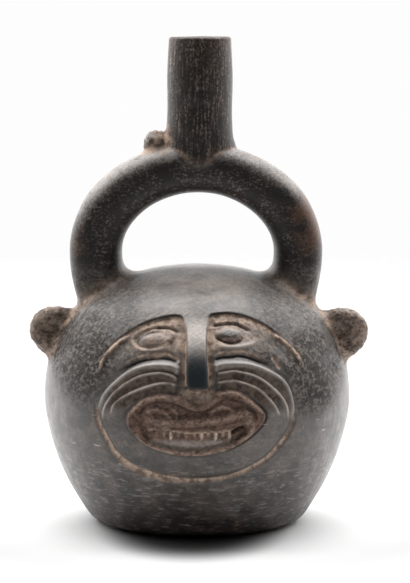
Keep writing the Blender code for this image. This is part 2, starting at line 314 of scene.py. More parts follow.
def stirrup_recipe(name, sizes, count, material):
    """The stirrup: two leaning legs joined by half an ellipse, with a squarish section."""
    leg_share = 0.2
    recipe = Recipe(name, sizes)
    size = recipe.size
    points, along = recipe.line(2 * count)
    turn = ((along - leg_share) / (1 - 2 * leg_share)).within(0, 1) * math.pi
    near = (leg_share - along).within(0, 1) / leg_share
    far = (along - (1 - leg_share)).within(0, 1) / leg_share
    drop = (near + far) * size("Leg Depth")
    lean = size("Leg Lean") * (drop / (LEG_LEAN_DROP * MM)) ** 2
    x = -turn.math("COSINE") * (size("Half Span") - lean)
    z = size("Spring") - drop + turn.math("SINE") * size("Rise")
    points = recipe.placed(points, recipe.vector(x, 0, z))
    upright = {"Curve": points, "Normal": (0, 1, 0)}
    points = recipe.add("GeometryNodeSetCurveNormal", {"mode": "FREE"}, upright)
    ring = recipe.ring(count)
    cosine, sine, _ = recipe.parts(recipe.add("GeometryNodeInputPosition"))
    power = 2 / size("Squareness")
    out = cosine.math("ABSOLUTE") ** power * cosine.math("SIGN") * size("Half Depth")
    deep = sine.math("ABSOLUTE") ** power * sine.math("SIGN") * size("Half Thick")
    ring = recipe.placed(ring, recipe.vector(out, deep, 0))
    return recipe.made([recipe.swept(points, ring)], material)


def spout_recipe(name, sizes, count, material):
    """The upright spout, or its bore, tapered where it sinks into the crown.

    Its rows crowd towards the top, where a bore opens out into a rounded rim.
    """
    taper_share, widest_opening = 0.25, 0.97
    recipe = Recipe(name, sizes)
    size = recipe.size
    along = recipe.add("GeometryNodeSplineParameter")
    climb = 1 - (1 - along) ** 2
    height = size("Bottom") + climb * (size("Top") - size("Bottom"))
    tube = size("Radius") - (size("Radius") - size("Tip Radius")) * climb.eased(taper_share, 0)
    opening = ((height - size("Rim Height")) / size("Rim") + 1).within(0, widest_opening)
    tube = tube + size("Rim") * (1 - (1 - opening**2) ** 0.5)
    tube = recipe.turned(tube, height, count // 2, count)
    return recipe.made([recipe.moved(tube, Translation=(SPOUT_X * MM, 0, 0))], material)


def knob_recipe(name, sizes, material):
    """The ears and the lug: rounded lumps, set on at their places."""
    recipe = Recipe(name, sizes)
    ball = recipe.add("GeometryNodeMeshIcoSphere", None, {"Radius": 1, "Subdivisions": 5})
    lumps = []
    for label, centre, halves in (
        ("Ear Size", EAR_CENTRES[0], EAR_HALF),
        ("Ear Size", EAR_CENTRES[1], EAR_HALF),
        ("Lug Size", LUG_CENTRE, LUG_HALF),
    ):
        side = math.copysign(1, centre[0]) * (label == "Ear Size")
        lump = recipe.moved(
            ball,
            Translation=tuple(MM * part for part in centre),
            Rotation=(0, -side * EAR_TILT, -side * EAR_SWEEP),
            Scale=recipe.vector(*(recipe.size(label) * (MM * half) for half in halves)),
        )
        lumps.append(lump)
    return recipe.made(lumps, material)


def in_metres(**lengths):
    """Lengths in millimetres, labelled as a recipe's sizes."""
    return {name.replace("_", " ").title(): length * MM for name, length in lengths.items()}


def body_sizes(wall, floor):
    """The body's outer sizes, or those of the chamber inside its wall and floor."""
    fullness = {"Shoulder Fullness": SHOULDER_FULLNESS, "Underside Fullness": UNDERSIDE_FULLNESS}
    return fullness | in_metres(
        belly_radius=BELLY_RADIUS - wall,
        belly_height=BELLY_HEIGHT,
        top=DOME_TOP - wall,
        bottom=floor,
        foot_radius=FOOT_RADIUS - wall,
    )


def stirrup_sizes(half_thick, half_depth, squareness, leg_depth):
    return {"Squareness": squareness} | in_metres(
        half_span=ARCH_HALF_SPAN,
        spring=ARCH_SPRING,
        rise=ARCH_RISE,
        leg_depth=leg_depth,
        leg_lean=LEG_LEAN,
        half_thick=half_thick,
        half_depth=half_depth,
    )


def blank_parts(material):
    """The outer forms, which overlap one another."""
    body = body_sizes(0, 0)
    stirrup = stirrup_sizes(TUBE_HALF_THICK, TUBE_HALF_DEPTH, TUBE_SQUARENESS, LEG_DEPTH)
    spout = in_metres(
        radius=SPOUT_RADIUS,
        tip_radius=SPOUT_TIP_RADIUS,
        bottom=CROWN - 1,
        top=SPOUT_TOP,
        rim_height=2 * SPOUT_TOP,
        rim=RIM_ROUNDING,
    )
    return [
        body_recipe("body_blank", body, BODY_POINTS, material),
        stirrup_recipe("stirrup_blank", stirrup, STIRRUP_POINTS, material),
        spout_recipe("spout_blank", spout, SPOUT_POINTS, material),
        knob_recipe("knob_blank", {"Ear Size": 1, "Lug Size": 1}, material),
    ]


def hollow_parts(material):
    """The space inside: the chamber, the stirrup's bore and the spout's bore."""
    bore = stirrup_sizes(ARCH_BORE, ARCH_BORE, 2, ARCH_SPRING - BORE_FOOT)
    mouth = in_metres(
        radius=SPOUT_BORE,
        tip_radius=ARCH_BORE * 0.8,
        bottom=CROWN - ARCH_BORE / 2,
        top=SPOUT_TOP + RIM_ROUNDING,
        rim_height=SPOUT_TOP,
        rim=RIM_ROUNDING,
    )
    return [
        body_recipe("chamber", body_sizes(BODY_WALL, FLOOR_WALL), CHAMBER_POINTS, material),
        stirrup_recipe("stirrup_bore", bore, BORE_POINTS, material),
        spout_recipe("spout_bore", mouth, MOUTH_POINTS, material),
    ]


# --- The worked form: how far any point is from the finished skin, in millimetres ---


def ease(amount):
    """0 below 0 and 1 above 1, with a smooth run between."""
    amount = np.clip(amount, 0, 1)
    return amount * amount * (3 - 2 * amount)


def rounded_corner(first, second, radius):
    """The clay inside both gaps, with a rounded edge where they meet."""
    a, b = first + radius, second + radius
    return np.minimum(np.maximum(a, b), 0) + np.hypot(np.maximum(a, 0), np.maximum(b, 0)) - radius


def squarish_gap(a, b, half_a, half_b, power, least_size, least_slope):
    """The gap to a squarish outline, from a place's shares of the outline's two halves."""
    size = np.maximum((a**power + b**power) ** (1 / power), least_size)
    slope = size ** (1 - power) * np.hypot(a ** (power - 1) / half_a, b ** (power - 1) / half_b)
    return (size - 1) / np.maximum(slope, least_slope)


def body_gap(spots):
    """The turned body with its rounded foot. Gaps are negative inside the clay."""
    least = 1e-6
    ratio = np.hypot(spots[:, 0], spots[:, 1]) / BELLY_RADIUS
    rise = DOME_TOP - BELLY_HEIGHT
    above = np.maximum(spots[:, 2] - BELLY_HEIGHT, 0) / rise
    dome = squarish_gap(ratio, above, BELLY_RADIUS, rise, SHOULDER_FULLNESS, least, least)
    below = np.maximum(BELLY_HEIGHT - spots[:, 2], 0) / BELLY_HEIGHT
    narrowing = 1 - (FOOT_RADIUS / BELLY_RADIUS) ** 2
    level = ratio**2 + narrowing * below**UNDERSIDE_FULLNESS - 1
    steep = narrowing * UNDERSIDE_FULLNESS * below ** (UNDERSIDE_FULLNESS - 1) / BELLY_HEIGHT
    flank = level / np.maximum(np.hypot(2 * ratio / BELLY_RADIUS, steep), least)
    side = np.where(spots[:, 2] > BELLY_HEIGHT, dome, flank)
    return rounded_corner(side, -spots[:, 2], FOOT_ROUNDING)


def stirrup_line():
    """Points close together along the stirrup's middle: x, z and the outward angle."""
    turn = np.linspace(0, math.pi, 300)
    outward = np.arctan2(np.sin(turn) / ARCH_RISE, np.cos(turn) / ARCH_HALF_SPAN)
    x = ARCH_HALF_SPAN * np.cos(turn)
    z = ARCH_SPRING + ARCH_RISE * np.sin(turn)
    drop = np.linspace(LEG_DEPTH, 0, 90, endpoint=False)
    leg_x = ARCH_HALF_SPAN - LEG_LEAN * (drop / LEG_LEAN_DROP) ** 2
    leg_out = -np.arctan(2 * LEG_LEAN * drop / LEG_LEAN_DROP**2)
    x = np.concatenate([leg_x, x, -leg_x[::-1]])
    z = np.concatenate([ARCH_SPRING - drop, z, (ARCH_SPRING - drop)[::-1]])
    return x, z, np.concatenate([leg_out, outward, math.pi - leg_out[::-1]])


STIRRUP_LINE = stirrup_line()
FAR_OFF = 60.0


def stirrup_gap(spots):
    """The stirrup's squarish tube, swept along its middle line."""
    gap = np.full(len(spots), FAR_OFF)
    reach, low, high, rounds = 32, 78, 186, 12
    near = (np.abs(spots[:, 1]) < reach) & (spots[:, 2] > low) & (spots[:, 2] < high)
    x, z, outward = STIRRUP_LINE
    for chosen in np.array_split(np.nonzero(near)[0], rounds):
        away_x = spots[chosen, 0][:, None] - x
        away_z = spots[chosen, 2][:, None] - z
        nearest = np.argmin(away_x**2 + away_z**2, axis=1)
        row = np.arange(len(chosen))
        angle = outward[nearest]
        out = away_x[row, nearest] * np.cos(angle) + away_z[row, nearest] * np.sin(angle)
        thick = TUBE_HALF_THICK - CROWN_THINNING * np.maximum(np.sin(angle), 0) ** 2
        thick = thick + HAUNCH_FULLNESS * np.sin(2 * angle) ** 2 * (np.sin(angle) > 0)
        thick = thick - LEFT_LEG_EXTRA * np.cos(angle)
        a, b = np.abs(out) / thick, np.abs(spots[chosen, 1]) / TUBE_HALF_DEPTH
        gap[chosen] = squarish_gap(a, b, thick, TUBE_HALF_DEPTH, TUBE_SQUARENESS, 0.05, 0.02)
    return gap


def smooth_run(part, start, end, leaving, arriving):
    """From start to end as part goes from 0 to 1, with the slopes given at both ends."""
    return (
        (2 * part**3 - 3 * part**2 + 1) * start
        + (part**3 - 2 * part**2 + part) * leaving
        + (3 * part**2 - 2 * part**3) * end
        + (part**3 - part**2) * arriving
    )


def smooth_steps(at, places, sizes):
    """A smooth run through sizes given at places."""
    slopes = np.gradient(sizes, places)
    index = np.clip(np.searchsorted(places, at) - 1, 0, len(places) - 2)
    span = places[index + 1] - places[index]
    part = np.clip((at - places[index]) / span, 0, 1)
    leaving, arriving = slopes[index] * span, slopes[index + 1] * span
    return smooth_run(part, sizes[index], sizes[index + 1], leaving, arriving)


def spout_gap(spots):
    """The spout: a little waisted, flared at its root, tapering to a tongue on the crown."""
    heights = np.array([CROWN + above for above, _ in SPOUT_ROOT] + [SPOUT_NECK, SPOUT_TOP])
    radii = np.array([radius for _, radius in SPOUT_ROOT] + [SPOUT_RADIUS, RIM_RADIUS])
    z = spots[:, 2]
    step = 0.25
    radius = smooth_steps(z, heights, radii)
    rise = smooth_steps(z + step, heights, radii) - smooth_steps(z - step, heights, radii)
    tilt = rise / (2 * step)
    # The flare spreads along the arch only, so the front and the back go straight down.
    spread = np.where(z < FLARE_TOP, np.maximum(radius / SPOUT_WAIST, 1), 1)
    across = np.hypot(spots[:, 0] - SPOUT_X, spots[:, 1] * spread)
    side = (across - radius) / np.hypot(1, tilt)
    tube = rounded_corner(side, z - SPOUT_TOP, RIM_ROUNDING)
    return np.maximum(tube, SPOUT_FOOT - z)


def lump_gap(shares, halves):
    """The gap to a rounded lump, from a place's shares of the lump's three halves."""
    least_slope = 0.02
    size = np.linalg.norm(shares, axis=1)
    slope = np.linalg.norm(shares / np.array(halves), axis=1)
    return size * (size - 1) / np.maximum(slope, least_slope)


def ear_axes(side):
    """The ear's long, deep and upright directions, swept back and tilted up."""
    sweep, tilt = -side * EAR_SWEEP, side * EAR_TILT
    cos_sweep, sin_sweep = math.cos(sweep), math.sin(sweep)
    cos_tilt, sin_tilt = math.cos(tilt), math.sin(tilt)
    turn_z = np.array([[cos_sweep, -sin_sweep, 0], [sin_sweep, cos_sweep, 0], [0, 0, 1]])
    turn_y = np.array([[cos_tilt, 0, -sin_tilt], [0, 1, 0], [sin_tilt, 0, cos_tilt]])
    return turn_z @ turn_y


def ear_gap(spots, centre):
    """A rounded tab, cupped on its front."""
    cup_middle, cup_spread, front_depth = 0.15, 0.32, 4
    side = math.copysign(1, centre[0])
    local = (spots - np.array(centre)) @ ear_axes(side)
    a, c = side * local[:, 0] / EAR_HALF[0], local[:, 2] / EAR_HALF[2]
    dish = np.exp(-((a - cup_middle) ** 2 + c * c) / cup_spread) * EAR_CUP
    b = (local[:, 1] - dish * ease(-local[:, 1] / front_depth + 0.5)) / EAR_HALF[1]
    return lump_gap(np.stack([a, b, c], axis=1), EAR_HALF)


def run_together(first, second, reach):
    """Joins two forms with a soft fillet."""
    overlap = np.maximum(reach - np.abs(first - second), 0) / reach
    return np.minimum(first, second) - overlap * overlap * reach / 4


def vessel_gaps(spots):
    """The finished skin's gap, and each form's own."""
    own = {
        "body": body_gap(spots),
        "stirrup": stirrup_gap(spots),
        "spout": spout_gap(spots),
        "left_ear": ear_gap(spots, EAR_CENTRES[0]),
        "right_ear": ear_gap(spots, EAR_CENTRES[1]),
        "lug": lump_gap((spots - np.array(LUG_CENTRE)) / np.array(LUG_HALF), LUG_HALF),
    }
    outside, inside = LEG_FILLET
    leg_x, turn = 46, 10
    legs = outside + (inside - outside) * ease((leg_x - np.abs(spots[:, 0])) / turn)
    whole = own["body"]
    for name, reach in (
        ("stirrup", legs),
        ("left_ear", EAR_FILLET),
        ("right_ear", EAR_FILLET),
        ("spout", SPOUT_FILLET),
        ("lug", LUG_FILLET),
    ):
        whole = run_together(whole, own[name], reach)
    return whole, own


def outward_directions(spots):
    """The way the skin faces at each point, and how fast its gap grows that way."""
    step, least_slope = 0.05, 0.2
    moves = step * np.eye(3)
    ahead = [vessel_gaps(spots + move)[0] - vessel_gaps(spots - move)[0] for move in moves]
    steep = np.stack(ahead, axis=1) / (2 * step)
    length = np.maximum(np.linalg.norm(steep, axis=1), least_slope)
    return steep / length[:, None], length


def drawn_to_skin(spots, rounds):
    """Moves points straight onto the finished skin, a short way each round."""
    longest = 1.2
    for _ in range(rounds):
        facing, steep = outward_directions(spots)
        step = np.clip(vessel_gaps(spots)[0] / steep, -longest, longest)
        spots = spots - facing * step[:, None]
    return spots


# --- The animal's face: lines on the front of the body, as x and z in millimetres ---

# Two marks carry painted light: the first paints shade into cuts and under steps along with grime,
# the second paints highlights on raised edges along with wear.
MARKS = ("groove", "worn", "earth", "mouth", "tooth", "spout")
SIDES = (("left", -1), ("right", 1))

NOSE_LEFT = ((-6, 98.5), (-4.6, 94), (-4.2, 88), (-4.2, 82), (-4.3, 76), (-4, 71))
NOSE_RIGHT = ((5.4, 98.5), (4.5, 94), (4.3, 89), (4.2, 84), (4.6, 78), (5, 71))
NOSE_TIP = 69.4
BROWS = {
    "left": (
        (-5.5, 99), (-7.6, 100.4), (-12.5, 100.2), (-20.4, 98.2), (-28.2, 94.3), (-35.2, 89.2),
        (-40, 83.9), (-43, 78),
    ),
    "right": (
        (4.9, 99.8), (7.2, 101), (14.9, 101.3), (23.2, 99.1), (29.8, 95.9), (35.5, 91.8),
        (41.7, 86.8), (46, 81.5), (48, 76.5),
    ),
}
BROW_RIDGES = {
    "left": ((-27.5, 92.4), (-33.2, 88.8), (-37.6, 84.6), (-40.6, 80.2), (-42.8, 73.5)),
    "right": ((31, 92.6), (35.5, 90.2), (40, 86.8), (43.4, 82.8), (46.4, 76)),
}
# Three crests on each cheek, the highest first, from the nose round towards the jaw.
WHISKERS = {
    "left": (
        (
            (-6.7, 77.4), (-8.6, 79.2), (-12, 80.2), (-20.2, 79.9), (-28, 77.2), (-35, 71.8),
            (-40.2, 65.8), (-43.6, 58),
        ),
        (
            (-8.2, 74.2), (-11.5, 75.7), (-15.8, 76.4), (-23.6, 75), (-30.6, 71.2), (-36.3, 66),
            (-39.9, 60), (-41.3, 54.6),
        ),
        (
            (-8.6, 71.6), (-12.3, 72.3), (-16.7, 71.9), (-24.5, 69.2), (-31, 66), (-35.4, 62.2),
            (-37.9, 56.3),
        ),
    ),
    "right": (
        (
            (6.6, 78.8), (9.4, 80.4), (14.4, 80.9), (20.6, 80.5), (28.3, 78.1), (36.2, 73.3),
            (40.1, 67.8), (41.9, 60.5), (41.6, 53.5),
        ),
        (
            (8.4, 76.4), (12.7, 76.9), (17, 77.1), (25.6, 74.5), (32.6, 69.3), (37.9, 62.8),
            (40.2, 54.3),
        ),
        ((8.8, 72.6), (13.5, 73.2), (17.8, 72.9), (26.5, 69.3), (32.6, 62.9), (36.6, 56)),
    ),
}
CHEEK_GROOVES = {
    "left": ((-7.6, 80.6), (-9.8, 82), (-15, 82.8), (-22, 81.9), (-28, 79.4), (-33.5, 75)),
    "right": ((7, 81.5), (9.6, 83), (14.4, 83.4), (19.6, 83.5), (26, 81.3), (32.7, 77.9)),
}
CHEEK_WRINKLES = (
    ((-21, 82.7), (-17.6, 83.4), (-15, 84.3), (-12.8, 84.6), (-10.2, 83.6), (-8, 82.4)),
    ((33.2, 81.8), (34.6, 80), (35.8, 77.9)),
)
EYE_LIDS = {
    "left": (
        (-26.4, 91.2), (-23.8, 93.2), (-20.3, 94.8), (-17, 95.6), (-12.8, 95.8), (-9.6, 94.8),
        (-7, 93),
    ),
    "right": ((5.8, 96.4), (9.2, 96.9), (14, 97.3), (18, 96.7), (21.5, 94.9), (24, 93.2)),
}
EYE_PITS = {
    "left": ((-25.2, 87.2), (-20.6, 86.8), (-15.6, 87.6), (-11, 90.4)),
    "right": ((7.4, 92.9), (10.4, 90.6), (14.8, 89), (18.6, 89.6), (20.4, 91.6)),
}
# Each eyeball's middle, half length, half height and slope.
EYE_BALLS = {"left": (-18, 90.2, 7.2, 3.2, 0.13), "right": (14, 92.9, 5.6, 2.6, -0.02)}
EYE_RIM = (
    (-28.4, 89.6), (-26.6, 92.2), (-21.8, 94.2), (-16.4, 94.4), (-11.6, 92.6), (-12.2, 90),
    (-15.6, 87.4), (-20.6, 86), (-25.4, 86.6),
)
LOWER_LIDS = {
    "left": ((-28, 89.4), (-26.4, 86.2), (-21, 85), (-15, 86.2), (-10.6, 89)),
    "right": ((7.9, 88.9), (12.2, 87.5), (18, 87.1), (23.5, 88.2), (26.6, 90.2)),
}
CHIN = (
    (-42.9, 63), (-43.7, 58.4), (-43, 54.2), (-40.6, 48.8), (-36, 41), (-28.2, 34.6), (-15.9, 30.5),
    (-4, 29.2), (8, 29.7), (17.9, 31.8), (29.7, 37.8), (37.6, 45.8), (41.6, 52.6), (42.6, 60),
)
MOUTH_OUTLINE = (
    (-30.3, 56.6), (-28.4, 60.6), (-22.6, 65.8), (-14.6, 67.9), (-8, 67), (-3, 64.5), (1, 63.4),
    (5.2, 65.2), (8.8, 68.8), (13, 69.8), (18.5, 68.6), (24.3, 64.4), (28.6, 60), (29.6, 57),
    (27.6, 53.2), (22.2, 48.4), (13.5, 43.6), (3.6, 41.2), (-6.3, 41), (-15.9, 43.1), (-23.7, 47),
    (-28.8, 51.6),
)
INNER_LIPS = (
    (-24.4, 57.6), (-23.2, 61.4), (-20.1, 64), (-15, 65.2), (-9.6, 64.6), (-3.7, 62.2), (0.6, 61.1),
    (4.9, 62.2), (8.3, 64.8), (12.6, 66.4), (17.8, 65.4), (22.2, 62.8), (25.2, 59), (23.6, 54.2),
    (19.9, 50), (13.9, 46.9), (6.2, 44.6), (-2.9, 43.9), (-13.2, 45), (-20.2, 47.6), (-23.6, 52),
)
UPPER_TEETH_ROLL = (
    (-20.4, 56.3), (-14, 55.8), (-6, 56.2), (3, 56.8), (11, 57.6), (17, 59), (20.6, 59.2),
    (22, 57.2), (21.4, 54.6),
)
LOWER_LIP = (
    (-26, 53.6), (-24.6, 49.4), (-20.8, 46), (-13.6, 43.7), (-2.9, 42.6), (6.2, 43.3), (14.3, 45.6),
    (20.9, 49.8), (24.2, 55.2), (24.4, 58.6),
)
GUM_LINE = (
    (-22, 51.8), (-18, 53), (-13, 53.1), (-8, 52.2), (-2, 51.8), (5, 52.1), (11, 52.2), (16.4, 53),
)
PALATE_VEINS = (
    ((-20.6, 60.2), (-16.8, 61.6), (-13.2, 60.2), (-11.2, 58.2)),
    ((-9.8, 61.8), (-8.4, 60), (-8.2, 58)),
    ((5.6, 59.6), (8.4, 61.8), (11.2, 62.6), (15, 61.2)),
)
MOUTH_CORNER = ((15.4, 51.4), (17.6, 53), (20, 53.6))
TOOTH_PLACES = (-17, -13.8, -10.9, -7.6, -4.4, -1, 2.1, 5.2, 8.1, 11.2, 13.9)
TOOTH_SIZES = (0.25, 0.35, 0.9, 0.3, 0.4, 0.3, 0.85, 0.45, 0.95, 0.4, 0.75)
EAR_FOLDS = (((-62.8, 95), (-60.6, 94.8), (-57.4, 92.6)), ((69.2, 80.4), (71, 81.8), (72.4, 83.8)))

# How far each feature stands out of the clay, or is cut into it, in millimetres.
SOCKET_DEPTH = 1.5
BROW_RIDGE_RISE = 0.9
WHISKER_RISES = (1.35, 1.2, 1.2)
CHEEK_GROOVE_DEPTH = 1
WRINKLE_DEPTH = 0.4
EYEBALL_RISE = {"left": 0.9, "right": 1.1}
LID_DEPTH = 0.9
EYE_PIT_DEPTH = {"left": 0.3, "right": 0.9}
LOWER_LID_RISE = {"left": 0.35, "right": 0.6}
EYE_RIM_RISE = 0.45
CHIN_LINE_DEPTH = 0.9
CHIN_STEP = 0.35
LIP_RISE = 2.7
PALATE_DEPTH = 0.9
LOWER_PALATE_DEPTH = 0.8
LOWER_LIP_RISE = 0.4
TEETH_ROLL_RISE = 1.7
VEIN_RISE = 0.5
GUM_RISE = 0.7
TOOTH_RISE = 1.1
MOUTH_CORNER_DEPTH = 1.2
NOSE_CHANNEL_DEPTH = 0.6
NOSE_RISE = 5
EAR_FOLD_DEPTH = 0.6

# Heights on the face between which its features change.
NOSE_ROOT = 99
MOUTH_MIDDLE = 56
TEETH_MIDDLE = 51


class Line:
    """A smooth line through a few (x, z) points, and how each spot lies beside it."""

    step = 0.4
    most_at_once = 4_000_000

    def __init__(self, points, spots, closed=False, reach=14):
        control = np.array(points, float)
        if closed:
            around = np.vstack([control[-1], control, control[:2]])
        else:
            before, after = 2 * control[0] - control[1], 2 * control[-1] - control[-2]
            around = np.vstack([before, control, after])
        run = []
        for first, start, end, last in zip(around, around[1:], around[2:], around[3:]):
            count = max(int(np.hypot(*(end - start)) / self.step + 0.5), 2)
            part = np.linspace(0, 1, count, endpoint=False)[:, None]
            run.append(smooth_run(part, start, end, (end - first) / 2, (last - start) / 2))
        self.run = np.vstack([*run, control[:1] if closed else control[-1:]])
        heading = np.gradient(self.run, axis=0)
        heading /= np.maximum(np.hypot(heading[:, 0], heading[:, 1]), 1e-9)[:, None]
        self.far = np.full(len(spots), FAR_OFF)
        self.side = np.full(len(spots), FAR_OFF)
        self.along = np.zeros(len(spots))
        low, high = self.run.min(axis=0) - reach, self.run.max(axis=0) + reach
        close = np.nonzero(((spots > low) & (spots < high)).all(axis=1))[0]
        end = len(self.run) - 1
        for chosen in np.array_split(close, len(close) * len(self.run) // self.most_at_once + 1):
            apart = spots[chosen][:, None, :] - self.run
            nearest = np.argmin((apart**2).sum(axis=2), axis=1)
            away = apart[np.arange(len(chosen)), nearest]
            onward = (heading[nearest] * away).sum(axis=1)
            across = heading[nearest, 0] * away[:, 1] - heading[nearest, 1] * away[:, 0]
            beyond = ((nearest == 0) & (onward < 0)) | ((nearest == end) & (onward > 0))
            past_end = beyond & (not closed)
            self.far[chosen] = np.where(past_end, np.hypot(onward, across), np.abs(across))
            self.side[chosen] = np.copysign(self.far[chosen], across)
            self.along[chosen] = np.clip((nearest + onward / self.step) / end, 0, 1)

    def ridge(self, half_width):
        """1 on the line, rounded off to 0 at its half width."""
        return 1 - ease(self.far / half_width)

    def fading(self, start, end):
        """1 along the line, running out to 0 over a share of it at either end."""
        return ease(self.along / start) * ease((1 - self.along) / end)

    def band(self, middle, half_width):
        """1 along a line beside this one, so far to its left, and 0 a half width from there."""
        return 1 - ease(np.abs(self.side - middle) / half_width)


class Relief:
    """How far the clay stands out or is cut in at each (x, z) spot, in millimetres.

    Its marks collect where earth, wear, painted highlights and painted shade in grooves lie, for
    the material.
    """

    def __init__(self, spots):
        self.spots = spots
        self.x, self.z = spots.T
        self.height = np.zeros(len(spots))
        self.marks = {name: np.zeros(len(spots)) for name in MARKS}

    def mark(self, name, amount):
        self.marks[name] = np.maximum(self.marks[name], amount)

    def line(self, points, **settings):
        return Line(points, self.spots, **settings)

    def stroke(self, points, half_width, rise, fade=None, narrow=None, closed=False, **shares):
        """Raises or cuts the clay along a line, and marks it by shares, there or more narrowly.

        Gives the shape: 1 on the line and 0 beside it.
        """
        line = self.line(points, closed=closed)
        ends = line.fading(*fade) if fade else 1
        shape = line.ridge(half_width) * ends
        self.height += rise * shape
        for name, share in shares.items():
            self.mark(name, share * (line.ridge(narrow) * ends if narrow else shape))
        return shape


def make_sockets(face):
    """The eye sockets: a steep step under each brow, and a floor that rises to the cheek."""
    for side, turn in SIDES:
        brow = face.line(BROWS[side], reach=26)
        below = -turn * brow.side
        outward = ease((turn * face.x - 6) / 34)
        reach = (brow.far < 25) * ease((1 - brow.along) / 0.2) * (turn * face.x > 0)
        step = ease(below / (1.2 - 0.3 * outward))
        floor = 1 - ease((below - 4) / (15 - 11 * outward))
        face.height -= (SOCKET_DEPTH - 0.7 * outward) * step * floor * reach
        # Painted shade: a dark band on the steep step under the brow, where the overhang shades it.
        shadow = ease(below / 0.4 + 0.3) * ease((1.1 - 0.5 * outward - below) / 0.6) * reach
        face.mark("groove", shadow * (0.9 - 0.5 * outward))
        near_step = ease((9 - 5 * outward - below) / 6)
        wide = 0.7 * ease((17 - 8 * outward - below) / 6) * (1 - outward)
        lining = ease((2.6 - outward - below) / 0.8)
        shelf = ease((below - 0.5 + 0.3 * outward) / 0.6) * reach
        face.mark("earth", shelf * np.max([0.85 * near_step, wide, lining], axis=0))
        face.stroke(BROW_RIDGES[side], 1.5, BROW_RIDGE_RISE, (0.3, 0.25), narrow=1.1, earth=0.7)


def make_whiskers(face):
    """The whiskers: terraces whose upper edges catch the light and carry a painted highlight, with
    painted shade in the bands below them, under an incised line on each cheek.
    """
    terraces = np.zeros(len(face.spots))
    for side, turn in SIDES:
        for order, points in enumerate(WHISKERS[side]):
            highest = order == 0
            line = face.line(points)
            above = turn * line.side
            fade = line.fading(0.03, 0.16)
            if highest:
                wide = 2.6 - 1.5 * ease(line.along / 0.7)
                lit = 1 - ease(np.abs(above + wide * 0.35) / wide)
                step = np.maximum(lit, 0.75 * ease(1 + above / 4.5) * (above < 0))
            else:
                slope = np.clip(1 + above / 4.2, 0, 1) ** 0.8
                step = np.where(above > 0, ease(1 - above), slope)
                lit = 1 - ease(np.abs(above - 0.1) / 0.75)
                face.mark("earth", 0.5 * lit * fade)
            terraces = np.maximum(terraces, step * fade * WHISKER_RISES[order])
            # Painted highlight with wear on each crest's upper edge.
            face.mark("worn", lit * fade * (0.75 if highest else 1))
            # Painted shade in the band below each crest, with a little brown earth in it.
            shade = ease((-above - 0.5) / 0.7) * ease((4.8 + above) / 1.6) * line.fading(0.05, 0.35)
            face.mark("groove", shade * (0.6 if highest else 1))
            face.mark("earth", 0.16 * shade)
        points = CHEEK_GROOVES[side]
        face.stroke(points, 1.5, -CHEEK_GROOVE_DEPTH, (0.1, 0.3), narrow=1.1, groove=1)
        groove = face.line(points)
        face.mark("earth", 0.55 * groove.band(turn * 1.7, 1.3) * groove.fading(0.1, 0.5))
    face.height += terraces
    for points in CHEEK_WRINKLES:
        face.stroke(points, 1.4, -WRINKLE_DEPTH, earth=0.7)


def make_eyes(face):
    """A ball under a cut lid in each socket; the left eye has a ring and a raised rim too."""
    marks = face.marks
    for side, _ in SIDES:
        left = side == "left"
        middle_x, middle_z, half_length, half_height, slope = EYE_BALLS[side]
        rise = face.z - middle_z - slope * (face.x - middle_x)
        size = np.hypot((face.x - middle_x) / half_length, rise / half_height)
        mound = ease((1.15 - size) * 1.5)
        face.height += EYEBALL_RISE[side] * mound
        marks["earth"] *= 1 - mound
        # Painted highlight with wear on the upper part of each eyeball.
        lit = ease((face.z - middle_z + 1.5) / 3)
        face.mark("worn", (0.75 if left else 0.5) * mound * lit**2)
        if left:
            face.mark("earth", 0.15 * mound)
            # Painted shade on the lower half of the left eyeball.
            face.mark("groove", 0.45 * mound * (1 - lit))
            face.mark("mouth", 0.6 * mound)
            # A dark ring round the left ball: a cut with grime, and painted shade that is darker on
            # its lower part.
            ring = 1 - ease(np.abs(size - 1.1) / 0.2)
            face.mark("groove", ring * np.where(rise < 1, 0.85, 0.5))
            marks["earth"] *= 1 - 0.6 * ring
        cut = face.stroke(EYE_LIDS[side], 1.15, -LID_DEPTH, (0.15, 0.15), groove=0.9)
        marks["earth"] *= 1 - 0.75 * cut
        dark = 0.4 if left else 0.9
        face.stroke(EYE_PITS[side], 1.1, -EYE_PIT_DEPTH[side], (0.15, 0.15), groove=dark)
        # Painted highlight with wear along the right eye's raised lower lid.
        bright = 0 if left else 0.6
        face.stroke(LOWER_LIDS[side], 1.7, LOWER_LID_RISE[side], (0.25, 0.25), worn=bright)
    marks["worn"] *= 1 - face.stroke(EYE_RIM, 1.7, EYE_RIM_RISE, closed=True, earth=0.65)


def make_chin(face):
    """The line cut round the jaw, with the clay a little lower inside it."""
    chin = face.line(CHIN)
    face.height -= CHIN_LINE_DEPTH * chin.ridge(1.7) * chin.fading(0.05, 0.05)
    ends = chin.fading(0.1, 0.1)
    inside = ease(chin.side / 1.6 + 0.5) * ease((9 - chin.side) / 9) * (chin.far < 14)
    face.height -= CHIN_STEP * inside * ends
    thick = 1 + 1.3 * np.exp(-(((chin.along - 0.36) / 0.14) ** 2))
    face.mark("earth", chin.band(-0.3, thick) * ends)
    face.mark("groove", 0.6 * chin.band(1.1, 0.9) * chin.fading(0.06, 0.06))


def uneven(x, z):
    """The unevenness of the lips, worked with a tool."""
    wave = np.sin(1.9 * x + 1.2 * np.sin(1.1 * z)) * np.sin(1.6 * z + 0.8 * np.sin(1.3 * x))
    return wave + 0.6 * np.sin(3.1 * x - 1.7 * z) * np.sin(2.4 * z + 1.1 * x)


